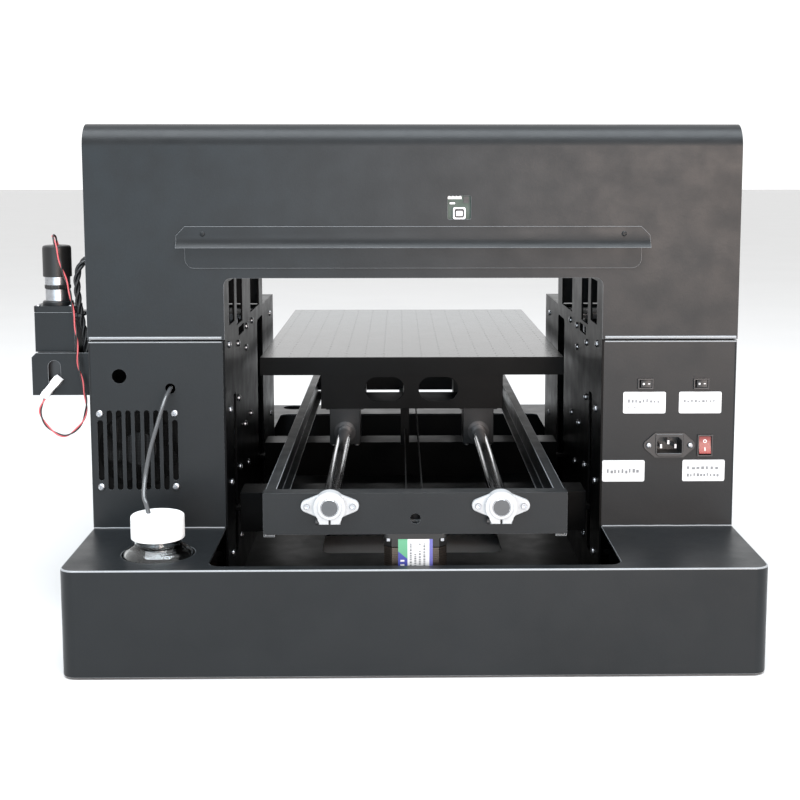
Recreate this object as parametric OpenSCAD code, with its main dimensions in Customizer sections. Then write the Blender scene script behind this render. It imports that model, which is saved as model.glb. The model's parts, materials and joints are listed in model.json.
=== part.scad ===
// Flatbed UV printer, small-format table-top machine, millimetres.
// X runs across the machine, +Y points to the operator's side, Z is up.
// The origin is on the surface it stands on, under the middle of the base.
// A folded base carries two towers, a hood bridges them, and a perforated table runs
// along Y through the passage on a frame that lead screws raise and lower.

/* [Base] */
// Width of the base and of the hood
base_w = 620; // [540:5:760]
// Length of the base
base_l = 820; // [760:5:1000]
// Height of the base top above the surface
base_h = 98; // [90:1:125]
// Radius of the base's upright corners
base_corner = 14; // [8:1:24]
// Thickness of the folded steel sheet
sheet = 2; // [1.5:0.1:2.5]
// Height of the floor plate's top
floor_z = 20; // [16:1:24]
// Depth of the flat ledge in front of the towers
ledge = 139; // [125:1:170]
// Width of the rim between the bay and the base's end face
rim = 12; // [9:1:20]
// Depth of the solid rim at the operator's end
far_rim = 74; // [68:1:110]
// Corner radius of the bay
bay_corner = 12; // [5:1:18]

/* [Towers and hood] */
// Clear width between the towers' inner walls
gap_w = 360; // [352:2:380]
// Height of the towers
tower_top = 280; // [276:1:310]
// Length of the towers along Y
tower_l = 487; // [460:1:540]
// Height of the hood
hood_top = 485; // [480:1:560]
// Length of the hood along Y
hood_l = 355; // [340:1:400]
// Height of the passage through the hood
passage_top = 340; // [330:1:345]
// Radius of the hood's top bends
bend_r = 22; // [8:1:30]
// Corner radius of the passage
passage_corner = 7; // [3:1:12]

/* [Table] */
// Width of the perforated table
table_w = 330; // [300:2:340]
// Length of the perforated table
table_l = 500; // [450:5:540]
// Height of the table's top
table_z = 240; // [232:1:246]
// Depth of the table tray's folded edge
tray_h = 19.5; // [14:0.5:24]
// Distance of the table's near edge from the tower panels
table_start = 173; // [160:1:200]

/* [Guide frame] */
// Distance between the guide rods' axes
rod_gap = 150; // [140:2:170]
// Diameter of the guide rods
rod_d = 16; // [12:1:18]
// Height of the guide rods' axes
rod_z = 149.5; // [146:0.5:152]
// Overall width of the guide frame
frame_w = 268; // [250:2:290]
// Height of the guide frame's top
frame_top = 160; // [158:1:164]
// Height of the end bars' lower edge
bar_low = 123; // [122:1:126]
// Radial running clearance of rods, screws and axles
run_gap = 0.05; // [0.02:0.01:0.09]

/* [Drives] */
// Side of the table motor's flange
y_motor_s = 57; // [50:1:60]
// Length of the table motor
y_motor_l = 56; // [40:1:56]
// Radius of the table belt's inner face at the pulleys
belt_r = 7; // [6:0.1:9]
// Width of the toothed belts
belt_w = 10; // [6:1:10]
// Diameter of the lift screws
lift_d = 10; // [8:1:12]

/* [Rear panel] */
// Side of the cooling fan
fan_s = 80; // [70:1:84]
// Spacing of the fan's screws
fan_pitch = 71.5; // [60:0.5:72]
// Diameter of the cable hole
cable_hole_d = 14; // [8:1:18]
// Diameter of the bottle holes
bottle_hole_d = 66; // [50:1:70]
// Gap between the bottle and its hole
bottle_gap = 1; // [0.5:0.1:2]

/* [Hidden] */
$fn = 48;
EPS = 1;

// Places shared by several pieces
half_w = base_w / 2;
half_l = base_l / 2;
wall_x = gap_w / 2;
rear_y = -half_l + ledge;
tower_far = rear_y + tower_l;
hood_far = rear_y + hood_l;
shell_low = 2;
bay_w = gap_w + 2 * sheet;
bay_near = -half_l + rim;
bay_far = half_l - far_rim;

// Colours
BLACK = [0.13, 0.14, 0.15];
DARK = [0.06, 0.06, 0.07];
STEEL = [0.75, 0.76, 0.78];
ALLOY = [0.85, 0.86, 0.87];
WHITE = [0.93, 0.93, 0.93];

// Rear panel fittings, from the rear panel's own plane
fan_x = -(wall_x + 84.6);
fan_z = 174.7;
fan_t = 25;
cable_x = -(wall_x + 101);
cable_z = 246.5;
drain_x = -(wall_x + 52.6);
drain_z = 234.5;
drain_d = 10;
inlet_x = wall_x + 66.3;
inlet_z = 178.3;
inlet_ear = 20;
rocker_x = [wall_x + 42.4, wall_x + 96.1];
rocker_z = 238;
rocker_w = 15;
rocker_h = 10.5;
power_x = wall_x + 101;
power_z = 177.7;
power_w = 15;
power_h = 21;
rocker_tilt = 8;
axle_r = 1.4;
axle_play = 0.1;
bezel_lip = 2;
usb_x = 43;
usb_z = 406.6;
usb_cut = 22;

// Waste bottle
bottle_x = -(wall_x + 52);
bottle_y = -half_l + 54;
spare_x = -167;
spare_y = half_l - 20;
spare_d = 32;
bottle_r = bottle_hole_d / 2 - bottle_gap;
neck_r = 21;
shoulder_z = base_h + 4;
neck_z = base_h + 15;
cap_r = 24;
cap_top = base_h + 36;

// Table, guide frame and belt
table_near = rear_y + table_start;
table_mid = table_near + table_l / 2;
tray_low = table_z - tray_h;
frame_near = -half_l + 24;
frame_far = half_l - 15;
bar_t = 2;
rail_low = 120;
rod_r = rod_d / 2;
rod_x = rod_gap / 2;
motor_y = frame_near + 28;
idler_y = frame_far - 35;
belt_z = 131;
belt_t = 1.2;
belt_gap = 0.25;
box_w = 200;
box_low = 181;
box_near = table_near + 13;
box_far = box_near + 370;
block_y = [box_near + 50, box_far - 50];

// Lift
lift_x = wall_x + 32;
lift_y = rear_y + 71;
guide_y = rear_y + 320;
guide_d = 12;
beam_top = rail_low;
beam_h = 40;
beam_d = 40;
tongue_z = 98;
tongue_t = 4;
tongue_w = 14;
nut_h = 12;
nut_r = 11;
slot_low = 55;
slot_top = 218;
slot_w = 20;
window_w = 62;
window_top = 268;
guide_top = 262;
lift_motor_s = 42;
lift_motor_h = 40;
shaft_r = 2.5;

// Print mechanism
beam_y = hood_far - 64;
beam_z = 385;
gantry_s = 40;
rail_y = beam_y - 10;
x_axis_z = beam_z + gantry_s + 21;
x_reach = half_w - 25;
x_belt_y = beam_y - 15;
park_x = wall_x + 65;
head_z = passage_top + 5;

// Ink stirring unit on the left flank
unit_x = -half_w - 43;
unit_y = rear_y + 66;
unit_d = 40;

// Cord routes, round numbers chosen by hand
WASTE_ROUTE = [
    [-232.6, -266, 234.5], [-232.6, -276, 234], [-235, -290, 226], [-240, -304, 205],
    [-245, -318, 182], [-247, -332, 160], [-246, -344, 148], [-243, -350, 142],
    [-240, -353, 132]
];
LEAD_ROUTE = [
    [-352, -205, 368], [-353, -208, 376], [-354, -214, 378], [-351, -222, 373],
    [-346, -228, 360], [-341, -232, 344], [-335, -235, 328], [-331, -238, 308],
    [-328, -240, 287], [-327, -241, 268], [-326, -241, 250], [-322, -241, 231],
    [-320, -241, 211], [-326, -241, 194], [-342, -241, 183], [-358, -241, 192],
    [-365, -241, 207], [-360, -240, 221]
];
SIDE_ROUTE = [
    [-310, -216, 356], [-318, -216, 356], [-326, -218, 350], [-330, -220, 338],
    [-330, -220, 320], [-328, -219, 300], [-325, -218, 282], [-323, -218, 261]
];
DECK_ROUTE = [
    [180, -246, 34], [170, -246, 34], [160, -252, 32], [146, -272, 25], [130, -300, 24],
    [108, -326, 24], [80, -346, 24], [50, -362, 24], [20, -378, 24], [-20, -386, 24],
    [-60, -376, 24], [-100, -350, 24], [-130, -312, 24], [-150, -274, 25], [-162, -250, 32],
    [-170, -244, 34], [-180, -244, 34]
];

function unit(v) = v / norm(v);
function spline(a, b, c, d, t) =
    0.5 * (2 * b + (c - a) * t + (2 * a - 5 * b + 4 * c - d) * t * t
    + (3 * b - a - 3 * c + d) * t * t * t);
function pick(p, i) = p[max(0, min(len(p) - 1, i))];
function smooth(p, n) = concat(
    [for (i = [0 : len(p) - 2], k = [0 : n - 1])
        spline(pick(p, i - 1), p[i], p[i + 1], pick(p, i + 2), k / n)],
    [p[len(p) - 1]]);
function heading(p, i) = unit(pick(p, i + 1) - pick(p, i - 1));
function ring(c, t, side, r, n) =
    let (u = unit(cross(t, side)), v = cross(t, u))
    [for (k = [0 : n - 1]) c + r * (cos(360 * k / n) * u + sin(360 * k / n) * v)];

// A round cord along a route; side is a direction that the route never runs along
module cord(route, side, d, steps) {
    n = 8;
    path = smooth(route, steps);
    points = [for (i = [0 : len(path) - 1]) each ring(path[i], heading(path, i), side, d / 2, n)];
    last = (len(path) - 1) * n;
    skin = [for (i = [0 : len(path) - 2], k = [0 : n - 1])
        let (a = i * n + k, b = i * n + (k + 1) % n)
        each [[a, a + n, b], [b, a + n, b + n]]];
    start = [[for (k = [0 : n - 1]) k]];
    end = [[for (k = [n - 1 : -1 : 0]) last + k]];
    polyhedron(concat(points), concat(start, skin, end));
}

// Flat shapes
module round_rect(w, l, r) {
    square([w - 2 * r, l], center = true);
    square([w, l - 2 * r], center = true);
    for (x = [-1, 1], y = [-1, 1])
        translate([x * (w / 2 - r), y * (l / 2 - r)])
            circle(r);
}
module block(low, high) {
    translate(low)
        cube(high - low);
}
// Extrudes a Y-Z outline along X from x0 to x1
module along_x(x0, x1) {
    translate([x0, 0, 0])
        rotate([90, 0, 90])
            linear_extrude(x1 - x0)
                children();
}
// Extrudes an X-Z outline along Y from y0 to y1
module along_y(y0, y1) {
    translate([0, y1, 0])
        rotate([90, 0, 0])
            linear_extrude(y1 - y0)
                children();
}
// A round bar along Y
module rod_y(x, z, r, y0, y1) {
    translate([x, y0, z])
        rotate([-90, 0, 0])
            cylinder(r = r, h = y1 - y0);
}
module rod_z(x, y, r, z0, z1) {
    translate([x, y, z0])
        cylinder(r = r, h = z1 - z0);
}
// A pan head that stands on a face; turn points it away from the face
module pan_head(at, turn, r, h) {
    translate(at)
        rotate(turn)
            difference() {
                union() {
                    cylinder(r = r, h = h * 0.6);
                    cylinder(r = r * 0.75, h = h);
                }
                translate([-r * 0.6, -r * 0.12, h * 0.6])
                    cube([r * 1.2, r * 0.24, h]);
            }
}

// Base
module base_shell() {
    color(BLACK)
        difference() {
            translate([0, 0, shell_low])
                linear_extrude(base_h - shell_low)
                    round_rect(base_w, base_l, base_corner);
            translate([0, 0, shell_low - EPS])
                linear_extrude(base_h - sheet - shell_low + EPS)
                    round_rect(base_w - 2 * sheet, base_l - 2 * sheet, base_corner - sheet);
            translate([0, (bay_near + bay_far) / 2, base_h - 2 * sheet])
                linear_extrude(4 * sheet)
                    round_rect(bay_w, bay_far - bay_near, bay_corner);
            rod_z(bottle_x, bottle_y, bottle_hole_d / 2, base_h - 2 * sheet, base_h + EPS);
            rod_z(spare_x, spare_y, spare_d / 2, base_h - 2 * sheet, base_h + EPS);
            for (side = [-1, 1], y = [lift_y, guide_y])
                translate([side * (wall_x + 30), y, base_h - 2 * sheet])
                    linear_extrude(4 * sheet)
                        round_rect(64, 48, 6);
        }
}
module base_floor() {
    hole_l = 80;
    hole_y = -12 - hole_l / 2;
    color(BLACK)
        difference() {
            translate([0, 0, floor_z - sheet])
                linear_extrude(sheet)
                    round_rect(base_w - 2 * sheet, base_l - 2 * sheet, base_corner - sheet);
            translate([0, hole_y, floor_z - 2 * sheet])
                linear_extrude(3 * sheet)
                    round_rect(200, hole_l, 12);
            for (x = [-1, 1], y = [0 : 4])
                translate([x * (half_w - 60), -200 + 100 * y, floor_z - 2 * sheet])
                    linear_extrude(3 * sheet)
                        round_rect(60, 6, 2.9);
        }
}
module foot(x, y, r) {
    translate([x, y, 0]) {
        cylinder(r = r, h = 4);
        cylinder(r = r - 2, h = floor_z - sheet);
    }
}
module rubber_feet() {
    color(DARK) {
        for (x = [-1, 1], y = [-1, 0, 1])
            foot(x * (half_w - 40), y * (half_l - 40), 15);
        foot(0, 0, 11);
    }
}

// Towers
module tower_box(side) {
    x_out = side * half_w;
    x_in = side * (wall_x + sheet);
    x_low = min(x_out, x_in);
    x_high = max(x_out, x_in);
    difference() {
        block([x_low, rear_y, base_h], [x_high, tower_far, tower_top]);
        block([x_low + (side < 0 ? sheet : -EPS), rear_y + sheet, base_h - EPS],
              [x_high - (side > 0 ? sheet : -EPS), tower_far - sheet, tower_top - sheet]);
        block([x_low + (side < 0 ? sheet : -EPS), rear_y + sheet, tower_top - 2 * sheet],
              [x_high - (side > 0 ? sheet : -EPS), hood_far - sheet, tower_top + EPS]);
        rows = side < 0 ? [0 : 11] : [0 : 5];
        for (i = rows)
            block([x_low - EPS + (side > 0 ? 100 : 0), rear_y + 150 + 14 * i, 150],
                  [x_low + 20 + (side > 0 ? 120 : 0), rear_y + 155 + 14 * i, 200]);
    }
}
module left_tower() {
    color(BLACK)
        difference() {
            tower_box(-1);
            rod_y(cable_x, cable_z, cable_hole_d / 2, rear_y - EPS, rear_y + 2 * sheet);
            rod_y(drain_x, drain_z, drain_d / 2, rear_y - EPS, rear_y + 2 * sheet);
            for (i = [-4 : 4])
                along_y(rear_y - EPS, rear_y + 2 * sheet)
                    translate([fan_x + 8.9 * i, fan_z])
                        round_rect(5.5, abs(i) == 4 ? 59 : 78, 2.7);
        }
}
module right_tower() {
    color(BLACK)
        difference() {
            tower_box(1);
            along_y(rear_y - EPS, rear_y + 2 * sheet)
                translate([inlet_x, inlet_z])
                    square([28, 21], center = true);
            for (x = rocker_x)
                along_y(rear_y - EPS, rear_y + 2 * sheet)
                    translate([x, rocker_z])
                        square([rocker_w - 2, rocker_h - 2], center = true);
            along_y(rear_y - EPS, rear_y + 2 * sheet)
                translate([power_x, power_z])
                    square([power_w - 2, power_h - 2], center = true);
        }
}
module inner_wall(side) {
    x0 = side < 0 ? -wall_x - sheet : wall_x;
    difference() {
        block([x0, rear_y, floor_z], [x0 + sheet, tower_far, tower_top]);
        along_x(x0 - EPS, x0 + sheet + EPS)
            translate([lift_y, (slot_low + slot_top) / 2])
                round_rect(slot_w, slot_top - slot_low, 3);
        along_x(x0 - EPS, x0 + sheet + EPS)
            translate([guide_y, (slot_low + window_top) / 2])
                round_rect(window_w, window_top - slot_low, 8);
        block([x0 - EPS, rear_y + 111, tower_top - 9], [x0 + sheet + EPS, rear_y + 158, tower_top + EPS]);
    }
}
module left_inner_wall() {
    color(BLACK)
        inner_wall(-1);
}
module right_inner_wall() {
    color(BLACK)
        inner_wall(1);
}

// Hood
module hood_outline(inset) {
    r = bend_r - inset;
    w = hood_l - 2 * inset;
    translate([rear_y + inset, tower_top]) {
        square([w, hood_top - inset - r - tower_top]);
        translate([r, 0])
            square([w - 2 * r, hood_top - inset - tower_top]);
        for (y = [r, w - r])
            translate([y, hood_top - inset - r - tower_top])
                circle(r);
    }
}
module passage(y0, y1) {
    along_y(y0, y1)
        translate([0, passage_top - 50])
            round_rect(gap_w, 100, passage_corner);
    block([-wall_x, y0, tower_top - EPS], [wall_x, y1, passage_top - 20]);
}
module hood_shell() {
    color(BLACK)
        difference() {
            along_x(-half_w, half_w)
                hood_outline(0);
            along_x(-half_w + sheet, half_w - sheet)
                hood_outline(sheet);
            block([-half_w + sheet, rear_y + sheet, tower_top - EPS],
                  [half_w - sheet, hood_far - sheet, tower_top + 5]);
            passage(rear_y - EPS, hood_far + EPS);
            along_y(rear_y - EPS, rear_y + 2 * sheet)
                translate([usb_x, usb_z])
                    round_rect(usb_cut, usb_cut, 1.5);
        }
}
module hood_inner_panels() {
    openings = [[rear_y + 36, rear_y + 79, 291], [rear_y + 98, rear_y + 147, 284],
                [rear_y + 223, rear_y + 315, 284]];
    color(BLACK)
        for (side = [-1, 1]) {
            x0 = side < 0 ? -wall_x - sheet : wall_x;
            difference() {
                block([x0, rear_y + sheet, tower_top], [x0 + sheet, hood_far - sheet, passage_top + 2]);
                for (o = openings)
                    block([x0 - EPS, o[0], o[2]], [x0 + sheet + EPS, o[1], passage_top - 6]);
            }
        }
}
module rear_lip_plate() {
    lip_w = 448;
    color(BLACK) {
        difference() {
            along_x(-lip_w / 2, lip_w / 2)
                polygon([[rear_y, 389], [rear_y - 1.5, 389], [rear_y - 1.5, 376], [rear_y - 7, 369],
                         [rear_y - 5, 369], [rear_y, 375]]);
            for (side = [-1, 1])
                translate([side * lip_w / 2, rear_y - 10, 389])
                    rotate([0, 45, 0])
                        cube([12, 30, 12], center = true);
        }
        along_y(rear_y - 1.2, rear_y)
            translate([0, 363])
                round_rect(432, 27, 9);
    }
}
module usb_module() {
    board_y = rear_y + sheet + 3;
    color([0.1, 0.3, 0.18])
        block([usb_x - 16, board_y, usb_z - 22], [usb_x + 16, board_y + 1.6, usb_z + 18]);
    color(STEEL)
        for (x = [-12, 12], z = [-18, 14])
            rod_y(usb_x + x, usb_z + z, 2.5, rear_y + sheet, board_y);
    color(WHITE)
        difference() {
            block([usb_x - 6, rear_y + 0.5, usb_z - 10.9], [usb_x + 6, board_y, usb_z + 0.2]);
            block([usb_x - 4.4, rear_y - 1, usb_z - 9.5], [usb_x + 4.4, board_y - 1, usb_z - 1.2]);
        }
}

// Rear panel fittings
module power_inlet() {
    color(DARK)
        difference() {
            union() {
                along_y(rear_y - 3, rear_y)
                    translate([inlet_x, inlet_z])
                        hull() {
                            square([32, 25], center = true);
                            for (side = [-1, 1])
                                translate([side * inlet_ear, 0])
                                    circle(5, $fn = 32);
                        }
                block([inlet_x - 13.9, rear_y, inlet_z - 10.4], [inlet_x + 13.9, rear_y + 26, inlet_z + 10.4]);
            }
            block([inlet_x - 12, rear_y - 4, inlet_z - 8], [inlet_x + 12, rear_y + 18, inlet_z + 8]);
        }
    color(STEEL)
        for (p = [[-7, -2], [0, 2], [7, -2]])
            block([inlet_x + p[0] - 1, rear_y + 4, inlet_z + p[1] - 2],
                  [inlet_x + p[0] + 1, rear_y + 18, inlet_z + p[1] + 2]);
}
module bezel(x, z, w, h) {
    along_y(rear_y - bezel_lip, rear_y)
        translate([x, z])
            difference() {
                square([w, h], center = true);
                square([w - 3, h - 3], center = true);
            }
    along_y(rear_y, rear_y + 14)
        translate([x, z])
            difference() {
                square([w - 2.1, h - 2.1], center = true);
                square([w - 3, h - 3], center = true);
            }
    block([x - w / 2 + 1.05, rear_y + 14, z - h / 2 + 1.05], [x + w / 2 - 1.05, rear_y + 16, z + h / 2 - 1.05]);
}
module switch_bezels() {
    color(DARK) {
        for (x = rocker_x)
            bezel(x, rocker_z, rocker_w, rocker_h);
        bezel(power_x, power_z, power_w, power_h);
    }
}
// A rocker's side view, half as long as reach each way from its axle
module rocker_outline(reach) {
    rotate(rocker_tilt)
        polygon([[-reach, -4.2], [0, -3], [reach, -4.2], [reach, 1], [0, 3], [-reach, 1]]);
}
// A rocker of that thickness between bezel walls 0.3 mm away, with stub axles that almost reach them
module rocker(reach, thick) {
    axle = thick + 0.6 - 2 * axle_play;
    translate([0, 0, -thick / 2])
        linear_extrude(thick)
            rocker_outline(reach);
    translate([0, 0, -axle / 2])
        cylinder(r = axle_r, h = axle);
}
module small_rocker(x) {
    translate([x, rear_y + 2.5, rocker_z])
        rocker((rocker_w - 4.4) / 2, rocker_h - 3.6);
}
module left_rocker() {
    color(DARK)
        small_rocker(rocker_x[0]);
}
module right_rocker() {
    color(DARK)
        small_rocker(rocker_x[1]);
}
module power_rocker() {
    color([0.65, 0.08, 0.08])
        translate([power_x, rear_y + 2.5, power_z])
            rotate([0, -90, 0])
                rocker((power_h - 4.4) / 2, power_w - 3.6);
}
module panel_labels() {
    labels = [[wall_x + 41.7, 219.7], [wall_x + 95.5, 219.7], [wall_x + 22.6, 152.8],
              [wall_x + 100.3, 153]];
    color(WHITE)
        for (l = labels)
            along_y(rear_y - 0.3, rear_y)
                translate([l[0], l[1]])
                    round_rect(41, 21, 1.5);
}
WALL_SCREWS = [
    [31, 273], [33, 208], [34, 135], [37, 62], [103, 265], [179, 274], [233, 274], [175, 251],
    [103, 208], [154, 171], [106, 135], [181, 123], [213, 172], [105, 62], [440, 260], [440, 130]
];
module body_screws() {
    head_r = 3.6;
    head_h = 2.2;
    color(STEEL) {
        for (x = [-1, 1], z = [-1, 1])
            pan_head([fan_x + x * fan_pitch / 2, rear_y, fan_z + z * fan_pitch / 2], [90, 0, 0], head_r, head_h);
        for (x = [-1, 1])
            pan_head([inlet_x + x * inlet_ear, rear_y - 3, inlet_z], [90, 0, 0], 2.6, 1.6);
        for (side = [-1, 1]) {
            pan_head([side * 199, rear_y - 1.5, 382], [90, 0, 0], 2.4, 1.2);
            for (s = WALL_SCREWS)
                pan_head([side * wall_x, rear_y + s[0], s[1]], [0, -90 * side, 0], head_r, head_h);
        }
    }
}

// Cooling fan
module fan_frame() {
    y0 = rear_y + sheet;
    color(DARK)
        difference() {
            union() {
                difference() {
                    along_y(y0, y0 + fan_t)
                        translate([fan_x, fan_z])
                            round_rect(fan_s, fan_s, 4);
                    rod_y(fan_x, fan_z, fan_s / 2 - 2, y0 - EPS, y0 + fan_t + EPS);
                }
                rod_y(fan_x, fan_z, 15, y0 + fan_t - 3, y0 + fan_t);
                rod_y(fan_x, fan_z, 3, y0 + 6, y0 + fan_t);
                block([fan_x - fan_s / 2 + 1, y0 + fan_t - 3, fan_z - 2], [fan_x + fan_s / 2 - 1, y0 + fan_t, fan_z + 2]);
                block([fan_x - 2, y0 + fan_t - 3, fan_z - fan_s / 2 + 1], [fan_x + 2, y0 + fan_t, fan_z + fan_s / 2 - 1]);
            }
            for (x = [-1, 1], z = [-1, 1])
                rod_y(fan_x + x * fan_pitch / 2, fan_z + z * fan_pitch / 2, 2.2, y0 - EPS, y0 + fan_t + EPS);
        }
}
module fan_rotor() {
    y0 = rear_y + sheet;
    blades = 7;
    color([0.1, 0.1, 0.11])
        difference() {
            union() {
                rod_y(fan_x, fan_z, 17, y0 + 3, y0 + fan_t - 4);
                for (i = [0 : blades - 1])
                    translate([fan_x, y0 + 12, fan_z])
                        rotate([0, 360 * i / blades, 0])
                            translate([0, 0, 16])
                                rotate([0, 0, 38])
                                    translate([-10, -0.8, 0])
                                        cube([20, 1.6, fan_s / 2 - 20]);
            }
            rod_y(fan_x, fan_z, 3 + run_gap, y0 + 5, y0 + fan_t);
        }
}

// Waste bottle
module bottle_profile(t) {
    r = bottle_r - t;
    polygon([[0, floor_z + t], [r, floor_z + t], [r, shoulder_z - 6], [r - 3, shoulder_z], [r - 7, shoulder_z + 3],
             [neck_r - t, neck_z - 4], [neck_r - t, cap_top - 6], [0, cap_top - 6]]);
}
module waste_bottle() {
    color([0.8, 0.83, 0.84])
        translate([bottle_x, bottle_y, 0])
            difference() {
                rotate_extrude()
                    bottle_profile(0);
                rotate_extrude()
                    bottle_profile(1.5);
                rod_z(0, 0, neck_r - 1.5, cap_top - 10, cap_top);
            }
}
module bottle_cap() {
    color(WHITE)
        translate([bottle_x, bottle_y, 0])
            difference() {
                rod_z(0, 0, cap_r, neck_z, cap_top);
                rod_z(0, 0, neck_r, neck_z - EPS, cap_top - 2);
                rod_z(WASTE_ROUTE[8][0] - bottle_x, WASTE_ROUTE[8][1] - bottle_y, 2.05, cap_top - 4, cap_top + EPS);
            }
}
module waste_tube() {
    color([0.35, 0.37, 0.38])
        cord(WASTE_ROUTE, [1, 0, 0], 4, 5);
}

// Lift
module lift_motors() {
    color(DARK)
        for (side = [-1, 1]) {
            translate([side * lift_x, lift_y, floor_z])
                linear_extrude(lift_motor_h)
                    round_rect(lift_motor_s, lift_motor_s, 5);
            rod_z(side * lift_x, lift_y, shaft_r, floor_z + lift_motor_h, floor_z + lift_motor_h + 14);
        }
}
module lift_screw(side) {
    z0 = floor_z + lift_motor_h + 1;
    color(STEEL)
        difference() {
            union() {
                rod_z(side * lift_x, lift_y, 9, z0, z0 + 16);
                rod_z(side * lift_x, lift_y, lift_d / 2, z0 + 16, guide_top + 4);
            }
            rod_z(side * lift_x, lift_y, shaft_r + run_gap, z0 - EPS, z0 + 14);
        }
}
module left_lift_screw() {
    lift_screw(-1);
}
module right_lift_screw() {
    lift_screw(1);
}
module lift_guides() {
    plate = 6;
    color(ALLOY)
        for (side = [-1, 1]) {
            x0 = side * (wall_x + sheet);
            x1 = side * (lift_x + 16);
            difference() {
                block([min(x0, x1), lift_y - 16, guide_top], [max(x0, x1), lift_y + 16, guide_top + plate]);
                rod_z(side * lift_x, lift_y, lift_d / 2 + run_gap, guide_top - EPS, guide_top + plate + EPS);
            }
            block([min(x0, x1), guide_y - 40, guide_top + 8], [max(x0, x1), guide_y + 40, guide_top + 8 + plate]);
            rod_z(side * lift_x, guide_y, guide_d / 2, floor_z, guide_top + 8);
            rod_z(side * lift_x, guide_y, guide_d, floor_z, floor_z + 10);
        }
}
module beam(y, bore) {
    difference() {
        block([-wall_x + 6, y - beam_d / 2, beam_top - beam_h], [wall_x - 6, y + beam_d / 2, beam_top]);
        block([-wall_x, y - beam_d / 2 + sheet, beam_top - beam_h - EPS],
              [wall_x, y + beam_d / 2 - sheet, beam_top - sheet]);
    }
    for (side = [-1, 1])
        difference() {
            union() {
                block([min(side * (wall_x - 26), side * lift_x), y - tongue_w / 2, tongue_z],
                      [max(side * (wall_x - 26), side * lift_x), y + tongue_w / 2, tongue_z + tongue_t]);
                rod_z(side * lift_x, y, nut_r + 3, tongue_z, tongue_z + tongue_t);
                rod_z(side * lift_x, y, nut_r, tongue_z, tongue_z + nut_h);
                block([side * (wall_x - 22) - 4, y - beam_d / 2 + sheet, beam_top - beam_h],
                      [side * (wall_x - 22) + 4, y + beam_d / 2 - sheet, beam_top - sheet]);
            }
            rod_z(side * lift_x, y, bore / 2 + run_gap, tongue_z - EPS, tongue_z + nut_h + EPS);
        }
}
module crossbeams() {
    color(BLACK) {
        beam(lift_y, lift_d);
        beam(guide_y, guide_d);
    }
}

// Guide frame
module end_bar(y0, y1, front) {
    difference() {
        block([-frame_w / 2, y0, bar_low], [frame_w / 2, y1, frame_top]);
        block([-frame_w / 2 - EPS, front ? y0 + bar_t : y0 - EPS, bar_low - EPS],
              [frame_w / 2 + EPS, front ? y1 + EPS : y1 - bar_t, frame_top - bar_t]);
        for (x = [-rod_x, rod_x])
            rod_y(x, rod_z, rod_r, y0 - EPS, y1 + EPS);
        rod_y(0, 137, 4.7, y0 - EPS, y1 + EPS);
    }
}
module end_bars() {
    color(BLACK) {
        end_bar(frame_near, frame_near + 16, true);
        end_bar(frame_far - 16, frame_far, false);
    }
}
module side_rails() {
    y0 = frame_near + bar_t;
    y1 = frame_far - bar_t;
    color(BLACK)
        for (side = [-1, 1])
            difference() {
                block([min(side * frame_w / 2, side * (frame_w / 2 - 10)), y0, rail_low],
                      [max(side * frame_w / 2, side * (frame_w / 2 - 10)), y1, frame_top - bar_t]);
                block([min(side * (frame_w / 2 - bar_t), side * (frame_w / 2 - 11)), y0 - EPS, rail_low + bar_t],
                      [max(side * (frame_w / 2 - bar_t), side * (frame_w / 2 - 11)), y1 + EPS, frame_top - 2 * bar_t]);
            }
}
module guide_rods() {
    color(STEEL)
        for (x = [-rod_x, rod_x])
            rod_y(x, rod_z, rod_r, frame_near - 12, frame_far + 12);
}
// A flanged, slit rod clamp that stands on an end bar's outer face
module rod_support(x, y0, y1, ear0, ear1) {
    difference() {
        union() {
            rod_y(x, rod_z, 14, y0, y1);
            along_y(ear0, ear1)
                translate([x, rod_z])
                    hull() {
                        circle(13, $fn = 32);
                        for (side = [-1, 1])
                            translate([side * 20, 0])
                                circle(5.5, $fn = 32);
                    }
            block([x - 10, y0, rod_z - 15], [x + 10, y1, rod_z - 8]);
        }
        rod_y(x, rod_z, rod_r, y0 - EPS, y1 + EPS);
        block([x - 0.8, y0 - EPS, rod_z - 19], [x + 0.8, y1 + EPS, rod_z]);
    }
    for (side = [-1, 1])
        rod_y(x + side * 20, rod_z, 2.6, min(y0, y1) == ear0 ? ear1 : ear0 - 2.5,
              min(y0, y1) == ear0 ? ear1 + 2.5 : ear0);
}
module rod_supports() {
    color(ALLOY)
        for (x = [-rod_x, rod_x]) {
            rod_support(x, frame_near - 12, frame_near, frame_near - 6, frame_near);
            rod_support(x, frame_far, frame_far + 12, frame_far, frame_far + 6);
        }
}
module motor_plate() {
    y_end = motor_y + y_motor_s / 2 + 4;
    color(BLACK)
        difference() {
            block([-y_motor_s / 2 - 4, frame_near + bar_t, bar_low], [y_motor_s / 2 + 4, y_end, bar_low + 3]);
            rod_z(0, motor_y, 12, bar_low - EPS, bar_low + 4);
        }
}
module y_motor() {
    flange = 4;
    s = 47.14 / 2;
    color(DARK) {
        translate([0, motor_y, bar_low - flange])
            linear_extrude(flange)
                round_rect(y_motor_s, y_motor_s, 5);
        translate([0, motor_y, bar_low - y_motor_l])
            linear_extrude(y_motor_l - flange)
                intersection() {
                    square(y_motor_s - 1, center = true);
                    rotate(45)
                        square(y_motor_s + 7, center = true);
                }
        rod_z(0, motor_y, 11.9, bar_low, bar_low + 2);
        rod_z(0, motor_y, 3.2, bar_low + 2, bar_low + 20);
    }
    color(STEEL)
        for (x = [-s, s], y = [-s, s])
            rod_z(x, motor_y + y, 3.4, bar_low - flange - 3.4, bar_low - flange);
}
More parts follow.
